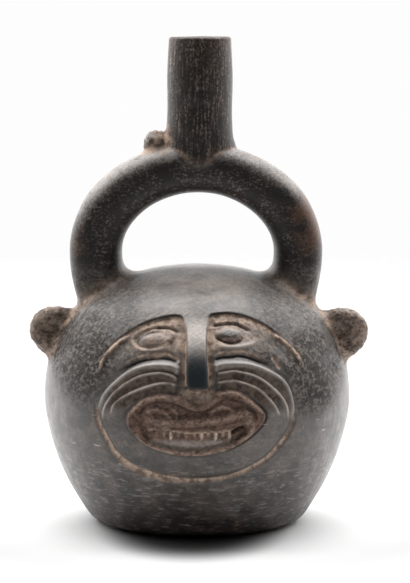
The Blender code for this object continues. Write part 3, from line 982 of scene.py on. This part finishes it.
def make_mouth(face):
    """The wide open mouth: raised lips, a sunk palate, a roll of upper teeth, gum and teeth."""
    x, z = face.x, face.z
    outline = face.line(MOUTH_OUTLINE, closed=True)
    deep = -outline.side
    lip_wall = ease(deep / (2.6 - 1.2 * ease((MOUTH_MIDDLE - z) / 8)) + 0.25)
    face.height *= 1 - 0.85 * lip_wall
    face.height += (LIP_RISE + 0.16 * uneven(x, z)) * lip_wall
    face.mark("mouth", ease(deep + 0.6))
    # Painted highlight with wear on the upper lip's rim.
    rim = ease((deep - 0.3) / 1.2) * ease((3 - deep) / 1.6)
    face.mark("worn", 0.5 * rim * ease((z - 55) / 6))
    right_end = ease((x - 8) / 14) * ease((66 - z) / 4)
    face.mark("groove", outline.band(0.6, 1.5) * (0.45 + 0.55 * right_end))
    inner = face.line(INNER_LIPS, closed=True)
    lower_part = ease((MOUTH_MIDDLE - z) / 4)
    face.height -= ease(-inner.side / 1.7 + 0.2) * (PALATE_DEPTH + LOWER_PALATE_DEPTH * lower_part)
    # Grime and painted shade along the inner lips, darkest under the upper lip.
    face.mark("groove", inner.band(-0.8, 1.2) * (0.1 + 0.6 * ease((z - MOUTH_MIDDLE) / 4)))
    # The lower lip, the top of the roll, the veins and the gum line are paler: wear with a painted
    # highlight on raised clay.
    face.stroke(LOWER_LIP, 1.7, LOWER_LIP_RISE, (0.12, 0.12), worn=0.8)
    face.stroke(UPPER_TEETH_ROLL, 2.9, TEETH_ROLL_RISE, (0.12, 0.03))
    face.stroke(UPPER_TEETH_ROLL, 1.8, 0, worn=0.5)
    roll = face.line(UPPER_TEETH_ROLL)
    beside_roll = 1 - ease(np.abs(roll.far - 2.9) / 0.9)
    face.mark("groove", 0.5 * beside_roll * roll.fading(0.05, 0.02))
    for points in PALATE_VEINS:
        face.stroke(points, 1.25, VEIN_RISE, worn=0.55)
    face.stroke(GUM_LINE, 1.2, GUM_RISE, (0.05, 0.05), worn=0.85)
    for place, tooth in zip(TOOTH_PLACES, TOOTH_SIZES):
        middle = TEETH_MIDDLE - 0.9 * tooth
        size = np.hypot((x - place) / 0.95, (z - middle) / (1 + 1.7 * tooth))
        stands = ease((1 - size) * 2.2)
        face.height += TOOTH_RISE * tooth * stands
        face.mark("tooth", tooth * stands)
    # Painted light: a paler band low in the mouth, where the overhang above shades it, with less of
    # the flesh colour there.
    low_band = ease((1.5 - inner.side) / 1.5) * ease(deep / 1.5) * ease((49.5 - z) / 3)
    face.mark("worn", 0.65 * low_band)
    face.marks["mouth"] *= 1 - 0.55 * low_band * ease((0.8 - inner.side) / 1.6)
    face.stroke(MOUTH_CORNER, 1.2, -MOUTH_CORNER_DEPTH, groove=1)
    under_nose = ease(2.2 - 1.4 * np.hypot((x - 0.3) / 6.5, (z - 67) / 3.2))
    face.mark("earth", 0.55 * under_nose * (1 - lip_wall))


def make_nose(face):
    """The nose strip, which stands over everything beside it, with a channel down either side."""
    x, z = face.x, face.z
    left, right = face.line(NOSE_LEFT), face.line(NOSE_RIGHT)
    left_edge, right_edge = (
        np.interp(z, *np.array(points)[::-1, ::-1].T) for points in (NOSE_LEFT, NOSE_RIGHT)
    )
    inset = np.minimum(x - left_edge, right_edge - x)
    inset = -rounded_corner(-inset, (NOSE_TIP - z) / 1.3, 1.8)
    nose = ease(inset / 1.5 + 0.5)
    channel = left.ridge(3.4) * (x < left_edge) + right.ridge(3.4) * (x > right_edge)
    channel *= ease((z - 69) / 3) * ease((NOSE_ROOT + 0.5 - z) / 3)
    face.height -= NOSE_CHANNEL_DEPTH * channel
    face.mark("earth", 0.95 * channel * (1 - nose))
    face.marks["groove"] *= 1 - 0.8 * channel
    down = np.clip((NOSE_ROOT - z) / (NOSE_ROOT - NOSE_TIP), 0, 1)
    rise = NOSE_RISE * ease((down + 0.06) / 0.86) - 0.5 * ease(down / 0.3) * (x / 4) ** 2
    face.height = face.height * (1 - nose) + rise * nose + 0.05 * uneven(x, z)
    for name in MARKS:
        face.marks[name] *= 1 - nose
    # Grime and painted shade in the line along each side of the raised nose.
    beside = 1 - ease(np.abs(inset + 0.2) / 1.2)
    face.mark("groove", 0.8 * beside * ease((98 - z) / 3) * ease((z - NOSE_TIP + 3) / 2))
    # Painted highlight with wear down the upper nose.
    face.mark("worn", 0.85 * nose * ease((z - 78) / 10) * ease((102 - z) / 9))


def face_relief(spots):
    """The animal's face, each feature worked over the ones before it."""
    face = Relief(spots)
    for make in (make_sockets, make_whiskers, make_eyes, make_chin, make_mouth, make_nose):
        make(face)
    return face


# --- Making the skin ---


def combined(base, others, operation):
    """Adds the other solids to the base, or takes them out of it."""
    for other in others:
        step = base.modifiers.new(operation.lower(), "BOOLEAN")
        step.operation = operation
        step.solver = "MANIFOLD"
        step.object = other
    settled(base)
    for other in others:
        bpy.data.objects.remove(other, do_unlink=True)
    return base


def even_skin(blank):
    """One closed skin of even faces round the overlapping blank parts."""
    skin = combined(blank[0], blank[1:], "UNION")
    step = skin.modifiers.new("even_faces", "REMESH")
    step.mode = "VOXEL"
    step.voxel_size = SKIN_STEP * MM
    return settled(skin)


def spots_of(mesh):
    spots = np.empty(len(mesh.vertices) * 3)
    mesh.vertices.foreach_get("co", spots)
    return spots.reshape(-1, 3) / MM


def put_spots(mesh, spots):
    mesh.vertices.foreach_set("co", (spots * MM).ravel())
    mesh.update()


def divided(mesh, wanted):
    """Halves every edge whose ends both lie in the wanted part of the skin."""
    chosen = wanted(spots_of(mesh))
    builder = bmesh.new()
    builder.from_mesh(mesh)
    edges = [edge for edge in builder.edges if all(chosen[vert.index] for vert in edge.verts)]
    bmesh.ops.subdivide_edges(builder, edges=edges, cuts=1, use_grid_fill=True)
    ragged = [face for face in builder.faces if len(face.verts) > 4]
    bmesh.ops.triangulate(builder, faces=ragged)
    builder.to_mesh(mesh)
    builder.free()


def on_rim(spots, depth, spare):
    """The top of the spout down to a depth, leaving out its bore."""
    x, y, z = spots.T
    return (z > SPOUT_TOP - depth) & (np.hypot(x - SPOUT_X, y) > SPOUT_BORE + spare)


def in_face(spots, middle_z, half_width, half_height, furthest_back):
    """An upright oval on the front of the body."""
    x, y, z = spots.T
    across, up = (x - 1) / half_width, (z - middle_z) / half_height
    return (across**2 + up**2 < 1) & (y < furthest_back)


def worked_zone(spots):
    """The face, the rim, the ears, the lug and the spout's root."""
    x, y, z = spots.T
    face = in_face(spots, middle_z=65, half_width=51, half_height=41, furthest_back=-25)
    ears = (np.abs(x) > EAR_ROOT) & (z > 70) & (z < 103) & (np.abs(y) < 24)
    lug = (np.abs(x - LUG_CENTRE[0]) < 8) & (z > 164) & (z < 181)
    root = (np.abs(x - SPOUT_X) < 20) & (z > SPOUT_FOOT) & (z < 176)
    return face | on_rim(spots, depth=4, spare=0.5) | ears | lug | root


def fine_zone(spots):
    """The rim's edge and the face above the chin."""
    face = in_face(spots, middle_z=67, half_width=49.5, half_height=36, furthest_back=-30)
    return on_rim(spots, depth=3, spare=1) | face & (spots[:, 2] > 38)


def hand_wave(spots):
    """The slight unevenness of a surface shaped and rubbed by hand."""
    x, y, z = (spots / 10).T
    wave = np.sin(0.9 * x + 1.3 * np.sin(0.7 * z)) * np.sin(0.8 * y + 0.6 * z + 0.5)
    wave += 0.6 * np.sin(1.9 * z + 0.9 * np.sin(0.8 * x + y)) * np.cos(0.7 * x - 0.4 * y)
    wave += 0.35 * np.sin(2.7 * x + 1.9 * y) * np.sin(2.3 * z + 0.8 * x)
    return 0.16 * wave * (spots[:, 2] >= 1)


def lumps(spots):
    """The roughness of clay pressed on and left unrubbed."""
    x, y, z = spots.T
    swirl = np.sin(1.1 * z + 0.9 * np.sin(1.2 * x + 0.7 * y))
    rough = np.sin(1.3 * x + 1.1 * np.sin(0.9 * z)) * swirl
    return rough + 0.5 * np.sin(2.3 * x - 1.1 * y) * np.sin(2.6 * z + 0.8 * y)


def joins(spots, own, cups, pressed_on):
    """Where earth is held round the roots of the legs, the ears, the lug and the spout."""

    def join(first, second, reach):
        """1 where two forms meet on the skin, and 0 a reach away from there."""
        return 1 - ease(np.maximum(np.abs(own[first]), np.abs(own[second])) / reach)

    lug_right = ease((spots[:, 0] - LUG_CENTRE[0] + 2.5) / 4.5)
    beside_spout = ease((np.abs(spots[:, 0] - SPOUT_X) - 3) / 7)
    held = (
        join("body", "stirrup", 3.4),
        0.4 * join("body", "stirrup", 8),
        0.85 * join("body", "left_ear", 5),
        0.85 * join("body", "right_ear", 5),
        join("lug", "spout", 8),
        join("lug", "stirrup", 5.5),
        0.9 * pressed_on * (0.15 + 0.85 * lug_right),
        (0.3 + 0.6 * beside_spout) * join("spout", "stirrup", 1.3),
        0.4 * cups,
    )
    return np.max(held, axis=0)


def worked_vessel(material):
    """The whole outer skin with its relief, and its marks kept for the material."""
    skin = even_skin(blank_parts(material))
    mesh = skin.data
    put_spots(mesh, drawn_to_skin(spots_of(mesh), 2))
    divided(mesh, worked_zone)
    divided(mesh, fine_zone)
    spots = drawn_to_skin(spots_of(mesh), 3)
    x, y, z = spots.T
    facing, _ = outward_directions(spots)
    own = vessel_gaps(spots)[1]
    whole = Relief(spots[:, [0, 2]])
    whole.height += hand_wave(spots)

    front = (y < -24) & (z > 24) & (z < 108) & (np.abs(own["body"]) < 0.6)
    face = face_relief(whole.spots[front])
    whole.height[front] += face.height
    for name in MARKS:
        whole.marks[name][front] = face.marks[name]

    ear = np.minimum(np.abs(own["left_ear"]), np.abs(own["right_ear"]))
    cups = ease((np.abs(x) - EAR_ROOT) / 4) * ease((-3 - y) / 3) * (1 - ease((ear - 0.2) / 0.5))
    pressed_on = 1 - ease(np.abs(own["lug"]) / 1.5)
    whole.height += (0.22 * cups + 0.35 * pressed_on) * lumps(spots)
    for points in EAR_FOLDS:
        fold = whole.line(points).ridge(1.1) * (cups > 0)
        whole.height -= EAR_FOLD_DEPTH * fold
        whole.mark("groove", fold)
    whole.mark("earth", joins(spots, own, cups, pressed_on))
    on_spout = ease((own["stirrup"] - own["spout"]) / 1.5 + 0.5)
    whole.mark("spout", on_spout * ease((z - 150) / 8))

    put_spots(mesh, spots + facing * whole.height[:, None])
    for name in MARKS:
        layer = mesh.attributes.new(name, "FLOAT", "POINT")
        layer.data.foreach_set("value", np.clip(whole.marks[name], 0, 1).astype(np.float32))
    return skin


# --- The clay's finish ---


class Finish(Net):
    """A material worked out from the piece's own coordinates, in millimetres."""

    def __init__(self, name):
        self.material = bpy.data.materials.new(name)
        self.material.use_nodes = True
        super().__init__(self.material.node_tree)
        self.shader = self.tree.nodes["Principled BSDF"]
        place = self.add("ShaderNodeTexCoord", None, None, "Object")
        sockets = {0: place, "Scale": 1 / MM}
        self.spot = self.add("ShaderNodeVectorMath", {"operation": "SCALE"}, sockets)
        self.x, self.y, self.z = self.parts(self.spot)
        facing = self.add("ShaderNodeTexCoord", None, None, "Normal")
        self.upward = self.parts(facing)[2]

    def cloud(self, size, detail=3, stretch=(1, 1, 1), shift=0):
        """Cloudy noise about that many millimetres across, mostly from 0.3 to 0.7."""
        scale = tuple(part / size for part in stretch)
        sockets = {0: self.spot, 1: scale, 2: (shift, 0.7 * shift, -shift)}
        moved = self.add("ShaderNodeVectorMath", {"operation": "MULTIPLY_ADD"}, sockets)
        return self.grain(moved, detail)

    def grain(self, vector, detail):
        sockets = {"Vector": vector, "Scale": 1, "Detail": detail, "Roughness": 0.6}
        return self.add("ShaderNodeTexNoise", None, sockets)

    def mark(self, name):
        """One of the amounts kept on the skin."""
        return self.add("ShaderNodeAttribute", {"attribute_name": name}, None, "Fac")

    def blended(self, share, first, second):
        """The first colour where the share is 0, and the second where it is 1."""
        settings = {"data_type": "RGBA", "clamp_factor": True}
        return self.add("ShaderNodeMix", settings, {0: share, 6: first, 7: second}, 2)

    def near(self, x, z, half_width, half_height):
        """1 at a place on the front or back, running out to 0 round it."""
        across = (self.x - x) / half_width
        up = (self.z - z) / half_height
        return (across * across + up * up).eased(1, 0.1)

    def shade(self, **inputs):
        """Sets the shader's sockets; Base_Color is Base Color."""
        for name, given in inputs.items():
            self.put(self.shader.inputs[name.replace("_", " ")], given)


CLAY = (0.0135, 0.0110, 0.0098)
CLAY_BROWN = (0.055, 0.036, 0.028)
HAZE = (0.156, 0.131, 0.116)
RUST = (0.095, 0.046, 0.028)
EARTH = (0.53, 0.395, 0.305)
EARTH_DARK = (0.26, 0.165, 0.115)
MOUTH = (0.132, 0.080, 0.061)
MOUTH_DARK = (0.050, 0.030, 0.022)
MOUTH_WEAR_AND_HIGHLIGHT = (0.38, 0.27, 0.205)
SOOT = (0.0075, 0.0055, 0.0045)
PALE = (0.42, 0.34, 0.28)
SPECK = (0.30, 0.252, 0.218)
DUST_AND_SHEEN = (0.35, 0.33, 0.315)
WEAR = (0.20, 0.160, 0.135)
LIT_EDGE = (0.37, 0.33, 0.30)
NOSE_TIP_REFLECTION = (0.008, 0.0125, 0.0145)
SPECULAR = 0.22
GLOSS_ROUGHNESS = 0.44
BUMP_STRENGTH = 0.35
BUMP_HEIGHT = 0.25

# Where the body's clay turns into the stirrup's, and the middle of the arch's turning streaks.
SHOULDER_TOP = (121, 112)
ARCH_MIDDLE = 118


def blackware():
    """Burnished blackware: dark clay with haze, rubbing streaks, earth in its lines and nicks, and
    painted highlights, sheen and shade on its relief and stirrup.
    """
    clay = Finish("blackware")
    cloud, near, blend = clay.cloud, clay.near, clay.blended
    x, y, z = clay.x, clay.y, clay.z

    # Which part of the vessel a place is on.
    groove, worn, earth, mouth, tooth, spout = (clay.mark(name) for name in MARKS)
    body = z.eased(*SHOULDER_TOP)
    arch = (1 - body) * (1 - spout)
    tubes = arch + spout
    shoulders = z.eased(58, 96) * body
    behind = y.eased(4, 34)
    ears = (x * x).eased(3400, 3900) * z.eased(66, 76) * body * 0.8

    # Rubbing streaks: level round the body, upright on the spout and along the stirrup.
    level = cloud(2.2, detail=4, stretch=(0.05, 0.05, 1))
    upright = cloud(1.7, detail=4, stretch=(1, 1, 0.045), shift=3)
    above = z - ARCH_MIDDLE
    reach = (x * x + above * above) ** 0.5
    turn = above.math("ARCTAN2", x)
    along_tube = clay.grain(clay.vector(reach / 2, y / 2, turn * 1.6), detail=4)
    round_about = (x * x + y * y + 1) ** 0.5
    sideways = x / round_about
    fan = clay.vector(sideways * 30, y / round_about * 30, z / 30)
    meridians = clay.grain(fan, detail=4).eased(0.36, 0.62)
    streak = level * body + upright * spout + along_tube * arch
    rubbed = streak.eased(0.42, 0.66)

    # Clouds of many sizes, from broad patches down to grit.
    broad = cloud(34, detail=4, stretch=(1, 1, 1.2), shift=5)
    patchy = cloud(9, detail=5, stretch=(1, 1, 1.3), shift=11)
    film = cloud(3.2, shift=15)
    fine = cloud(2.4, detail=4, shift=2)
    crumbs = cloud(1.3, detail=6, stretch=(0.8, 0.8, 1.3), shift=4)
    crumble = cloud(1.3, detail=4, shift=9)
    grit = cloud(0.95, detail=2, stretch=(1, 1, 0.8), shift=41).eased(0.38, 0.62)

    # The nose tip, painted a dark blue-grey as a reflection, and the shoulders scoured by the soil.
    nose_width = (x - 0.3) / 6.4
    nose_tip_reflection = (nose_width * nose_width).eased(1, 0.5) * z.eased(95, 77)
    nose_tip_reflection = nose_tip_reflection * z.eased(66, 70) * y.eased(-45, -60)
    scoured = near(-52, 80, 18, 24) + near(52, 73, 17, 23)
    scoured = scoured + 0.65 * (x * x).eased(150, 1000) * z.eased(70, 84) * body
    ragged = 1 - 0.75 * y.eased(-44, -14) * patchy.eased(0.56, 0.40)
    scoured = scoured.within(0, 1) * (1 - 0.85 * behind) * ragged

    # Painted sheen with some dust on the stirrup's upward faces, and a grey haze over the body,
    # thicker higher up; the sheen is added to the haze.
    dust_and_sheen = clay.upward.eased(0.04, 0.62) * (0.4 + 0.6 * patchy.eased(0.30, 0.62))
    dust_and_sheen = dust_and_sheen * (0.9 + 0.2 * grit) * (0.7 + 0.3 * x.eased(40, -20))
    dust_and_sheen = dust_and_sheen * (1 - 0.55 * y.eased(-3, 11)) * arch
    haze = (broad * 0.6 + patchy * 0.4).eased(0.42, 0.62) * (0.3 + 0.5 * shoulders) + 0.10
    haze = (haze + 0.10 * z.eased(26, 62)) * (0.88 + 0.2 * x.eased(-50, 50))
    haze = haze * (0.3 + 1.4 * fine) * body * (1 - nose_tip_reflection)
    haze = haze * (1 - 0.5 * behind) * (1 - 0.5 * scoured) + 1.5 * dust_and_sheen

    # Thin brown patches, speckle, pits, threads of wear, and rusty places on the stirrup.
    brown = patchy.eased(0.46, 0.64) * (0.8 - 0.5 * arch)
    brown = brown + spout * (0.25 * rubbed + 0.8 * z.eased(190, 218))
    speckle = crumbs.eased(0.50, 0.66) * (0.3 + 0.7 * patchy.eased(0.42, 0.62))
    speckle = speckle * (0.6 + 0.4 * shoulders) * (1 - 0.6 * behind)
    pits = (0.2 * shoulders + 0.8 * scoured + 0.5 * (arch - dust_and_sheen) + ears).within(0, 1)
    pitted = crumbs.eased(0.48, 0.38) * pits
    mottled = cloud(2.6, detail=7, stretch=(1, 1, 1.2), shift=31).eased(0.48, 0.58)
    threads = cloud(0.8, detail=4, stretch=(1, 1, 0.06), shift=7).eased(0.47, 0.64)
    threads = threads * (0.35 + 0.65 * patchy.eased(0.34, 0.56)) * (0.6 + 0.5 * grit)
    worn_tube = crumbs.eased(0.51, 0.60) * patchy.eased(0.34, 0.58) * arch + 1.3 * threads * spout
    rust = near(51, 139, 11, 20) * (1 - behind) + near(-56, 120, 9, 24) * 0.6
    rust = rust * arch * patchy.eased(0.32, 0.6) * (0.5 + 0.4 * grit)

    # The marks of making and of time that follow the relief, with painted shade and highlights
    # along it, then scuffs and nicks low down.
    held = earth * (1 - 0.6 * y.eased(-8, 8))
    held = held * (0.55 + 0.45 * film.eased(0.36, 0.56)) * (0.75 + 0.25 * crumble.eased(0.35, 0.62))
    # Grime with painted shade in cuts and under steps, darker and duller there.
    grime_and_shade = (groove * 1.25 - 0.3 * crumble).within(0, 1)
    scuffs = cloud(1.7, stretch=(0.35, 0.35, 1.5), shift=51).eased(0.54, 0.66)
    scuffs = scuffs * z.eased(50, 24)
    nicks = cloud(3.4, detail=2, stretch=(0.22, 0.22, 1.4), shift=21).eased(0.70, 0.76)
    nicks = nicks * z.eased(70, 40)

    # The mouth's flesh is paler where it is raised: wear with a painted highlight.
    flesh = blend(worn * 0.8, MOUTH, MOUTH_WEAR_AND_HIGHLIGHT)
    flesh = blend((0.5 * film + 0.5 * crumbs).eased(0.36, 0.60), MOUTH_DARK, flesh)
    soil = blend(film.eased(0.35, 0.60), EARTH_DARK, EARTH)
    colour = CLAY
    for share, over in (
        (brown, CLAY_BROWN),
        (haze, HAZE),
        (rubbed * 0.30 * (1 - spout), SOOT),
        (scoured * (0.5 + 0.5 * patchy.eased(0.34, 0.52)), SOOT),
        (speckle * (0.28 - 0.1 * scoured) * body, SPECK),
        (mottled * scoured * 0.30, SPECK),
        # painted sheen with dust on the stirrup's upward faces
        (dust_and_sheen * 0.62, DUST_AND_SHEEN),
        (grit * 0.08 * shoulders * (0.35 + scoured), SPECK),
        (scuffs * 0.30, DUST_AND_SHEEN),
        (worn_tube * 0.6, WEAR),
        ((1 - grit) * 0.85 * (tubes - dust_and_sheen), SOOT),
        (pitted * 0.95, SOOT),
        (rust, RUST),
        # painted highlight with wear on raised and lit edges
        (worn * (0.5 + 0.8 * fine), LIT_EDGE),
        # painted dark blue-grey reflection on the nose tip
        (nose_tip_reflection, NOSE_TIP_REFLECTION),
        (mouth * 0.92, flesh),
        # grime and painted shade in cuts and under steps
        (grime_and_shade * 0.9, SOOT),
        (pitted * ears * 0.6, SOOT),
        (held * (1 - 0.6 * pitted * ears), soil),
        (nicks * 0.8, PALE),
        (tooth * crumble.eased(0.3, 0.5), PALE),
    ):
        colour = blend(share, colour, over)

    rough = 0.38 + 0.10 * haze + 0.12 * rubbed + 0.10 * speckle + 0.10 * crumble + 0.25 * nose_tip_reflection
    rough = rough + 0.30 * mouth + 0.35 * held + 0.20 * grime_and_shade + 0.18 * rust + 0.12 * tubes
    rough = rough + 0.25 * scoured
    gloss = (1 - grime_and_shade) * (1 - held) * (1 - mouth) * (0.45 + 0.35 * rubbed)
    gloss = gloss * (1 - 0.5 * arch - 0.7 * spout) * (1 - 0.85 * scoured)
    gloss = gloss * (1 - 0.7 * pitted) * (1 - 0.8 * nose_tip_reflection) * z.eased(-6, 18)
    low = body * z.eased(72, 50) * (sideways * sideways).eased(0.50, 0.85)
    gloss = gloss * (1 + low * (0.9 * meridians * patchy.eased(0.3, 0.6) + 0.1))
    lift = 0.5 * fine + 0.2 * grit * (tubes + scoured) + 0.12 * meridians * low
    lift = lift + 0.3 * streak + 0.25 * crumble * (0.3 + mouth + earth) - 0.6 * nicks
    bump = {"Strength": BUMP_STRENGTH, "Distance": BUMP_HEIGHT * MM, "Height": lift}
    clay.shade(
        Base_Color=colour,
        Roughness=rough.within(0.2, 0.95),
        Normal=clay.add("ShaderNodeBump", None, bump),
        Specular_IOR_Level=SPECULAR,
        Coat_Weight=gloss.within(0, 1),
        Coat_Roughness=GLOSS_ROUGHNESS,
    )
    return clay.material


# --- The studio ---

BACKDROP_WHITE = 0.985
FLOOR_PALE = (0.40, 0.40, 0.40)
FLOOR_PAINTED_LIGHT = (0.60, 0.60, 0.60)
FLOOR_BOUNCE = (0.64, 0.64, 0.64)
FLOOR_PAINTED_SHADOW = (0.055, 0.055, 0.055)
FLOOR_RADIUS = 1.9
# Millimetres from the vessel's middle: the painted light near it, the painted shadow in front, and
# the far fade.
PAINTED_LIGHT_REACH = (120, 66)
PAINTED_SHADOW_MIDDLE = (-2, -25)
PAINTED_SHADOW_HALF = (36, 61)
FLOOR_MIDDLE = 260
FLOOR_FADE = (1150, 560)
ROOM_FRONT = 0.03
ROOM_BACK = 3.3
CAMERA_PLACE = (0.0036, -1.197, 0.238)
CAMERA_DIP = math.radians(6.354)
CAMERA_LENS = 109.13
CAMERA_SENSOR = 24
CAMERA_CLIP = (0.05, 20)
LAMP_PLACE = (0, 0.40, 1.25)
LAMP_SIZE = (2.6, 0.98)
LAMP_POWER = 71


def pale_floor():
    """A round floor that fades out into the pale surroundings, painted darker in front of the
    vessel as its shadow and lighter beside it as light.
    """
    mesh = bpy.data.meshes.new("floor")
    builder = bmesh.new()
    bmesh.ops.create_circle(builder, cap_ends=True, segments=96, radius=FLOOR_RADIUS)
    builder.to_mesh(mesh)
    builder.free()
    paper = Finish("pale_paper")
    x, y = paper.x, paper.y
    back = y - FLOOR_MIDDLE
    away = (x * x + back * back) ** 0.5
    across = (x - PAINTED_SHADOW_MIDDLE[0]) / PAINTED_SHADOW_HALF[0]
    forward = (y - PAINTED_SHADOW_MIDDLE[1]) / PAINTED_SHADOW_HALF[1]
    # Painted shadow: the floor's colour darkens in front of the foot, where the vessel shades it.
    painted_shadow = (across * across + forward * forward).eased(1.6, 0.35)
    # Painted light: the floor is lighter in a ring close beside the vessel.
    beside = ((x * x + y * y) ** 0.5).eased(*PAINTED_LIGHT_REACH)
    seen = paper.add("ShaderNodeLightPath", None, None, "Is Camera Ray")
    pale = paper.blended(seen, FLOOR_BOUNCE, paper.blended(beside, FLOOR_PALE, FLOOR_PAINTED_LIGHT))
    paper.shade(
        Base_Color=paper.blended(painted_shadow, pale, FLOOR_PAINTED_SHADOW),
        Roughness=0.9,
        Specular_IOR_Level=0.1,
        Alpha=away.eased(*FLOOR_FADE),
    )
    mesh.materials.append(paper.material)
    return in_scene("floor", mesh)


def surroundings():
    """Pale to look at; to the clay, white behind and beside it and dim in front of it."""
    world = bpy.data.worlds.new("studio")
    world.use_nodes = True
    bpy.context.scene.world = world
    room = Net(world.node_tree)
    x, y, z = room.parts(room.add("ShaderNodeTexCoord", None, None, "Generated"))
    aside = (x * x).eased(0.05, 0.35) * z.eased(0.85, 0.55)
    behind = y.eased(-0.25, 0.45) * (1 - 0.7 * z.eased(0.08, 0.48) * (1 - aside))
    strength = ROOM_FRONT + ROOM_BACK * behind
    seen = room.add("ShaderNodeLightPath", None, None, "Is Camera Ray")
    backdrop = world.node_tree.nodes["Background"]
    room.put(backdrop.inputs["Color"], (1, 1, 1))
    room.put(backdrop.inputs["Strength"], seen * BACKDROP_WHITE + (1 - seen) * strength)


def overhead_lamp():
    """A wide soft box above and a little behind the vessel."""
    lamp = bpy.data.lights.new("softbox", "AREA")
    lamp.shape = "RECTANGLE"
    lamp.size, lamp.size_y = LAMP_SIZE
    lamp.energy = LAMP_POWER
    in_scene("softbox", lamp).location = LAMP_PLACE


def studio_camera():
    """A long lens in front, looking a little down."""
    lens = bpy.data.cameras.new("camera")
    lens.sensor_fit = "VERTICAL"
    lens.sensor_height = CAMERA_SENSOR
    lens.lens = CAMERA_LENS
    lens.clip_start, lens.clip_end = CAMERA_CLIP
    camera = in_scene("camera", lens)
    camera.location = CAMERA_PLACE
    camera.rotation_euler = (math.pi / 2 - CAMERA_DIP, 0, 0)
    bpy.context.scene.camera = camera


# --- Putting it together ---


def main():
    bpy.context.scene.view_settings.view_transform = "Standard"
    studio_camera()
    finish = blackware()
    vessel = combined(worked_vessel(finish), hollow_parts(finish), "DIFFERENCE")
    vessel.name = vessel.data.name = "stirrup_vessel"
    vessel.data.shade_smooth()
    vessel.data.set_sharp_from_angle(angle=math.radians(60))
    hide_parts("vessel")
    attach(vessel, "root")
    pale_floor()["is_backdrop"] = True
    surroundings()
    overhead_lamp()


main()

boxes = {"cad": CAD_BOX, "visual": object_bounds()}
boxes = {name: [[float(part) for part in corner] for corner in box] for name, box in boxes.items()}
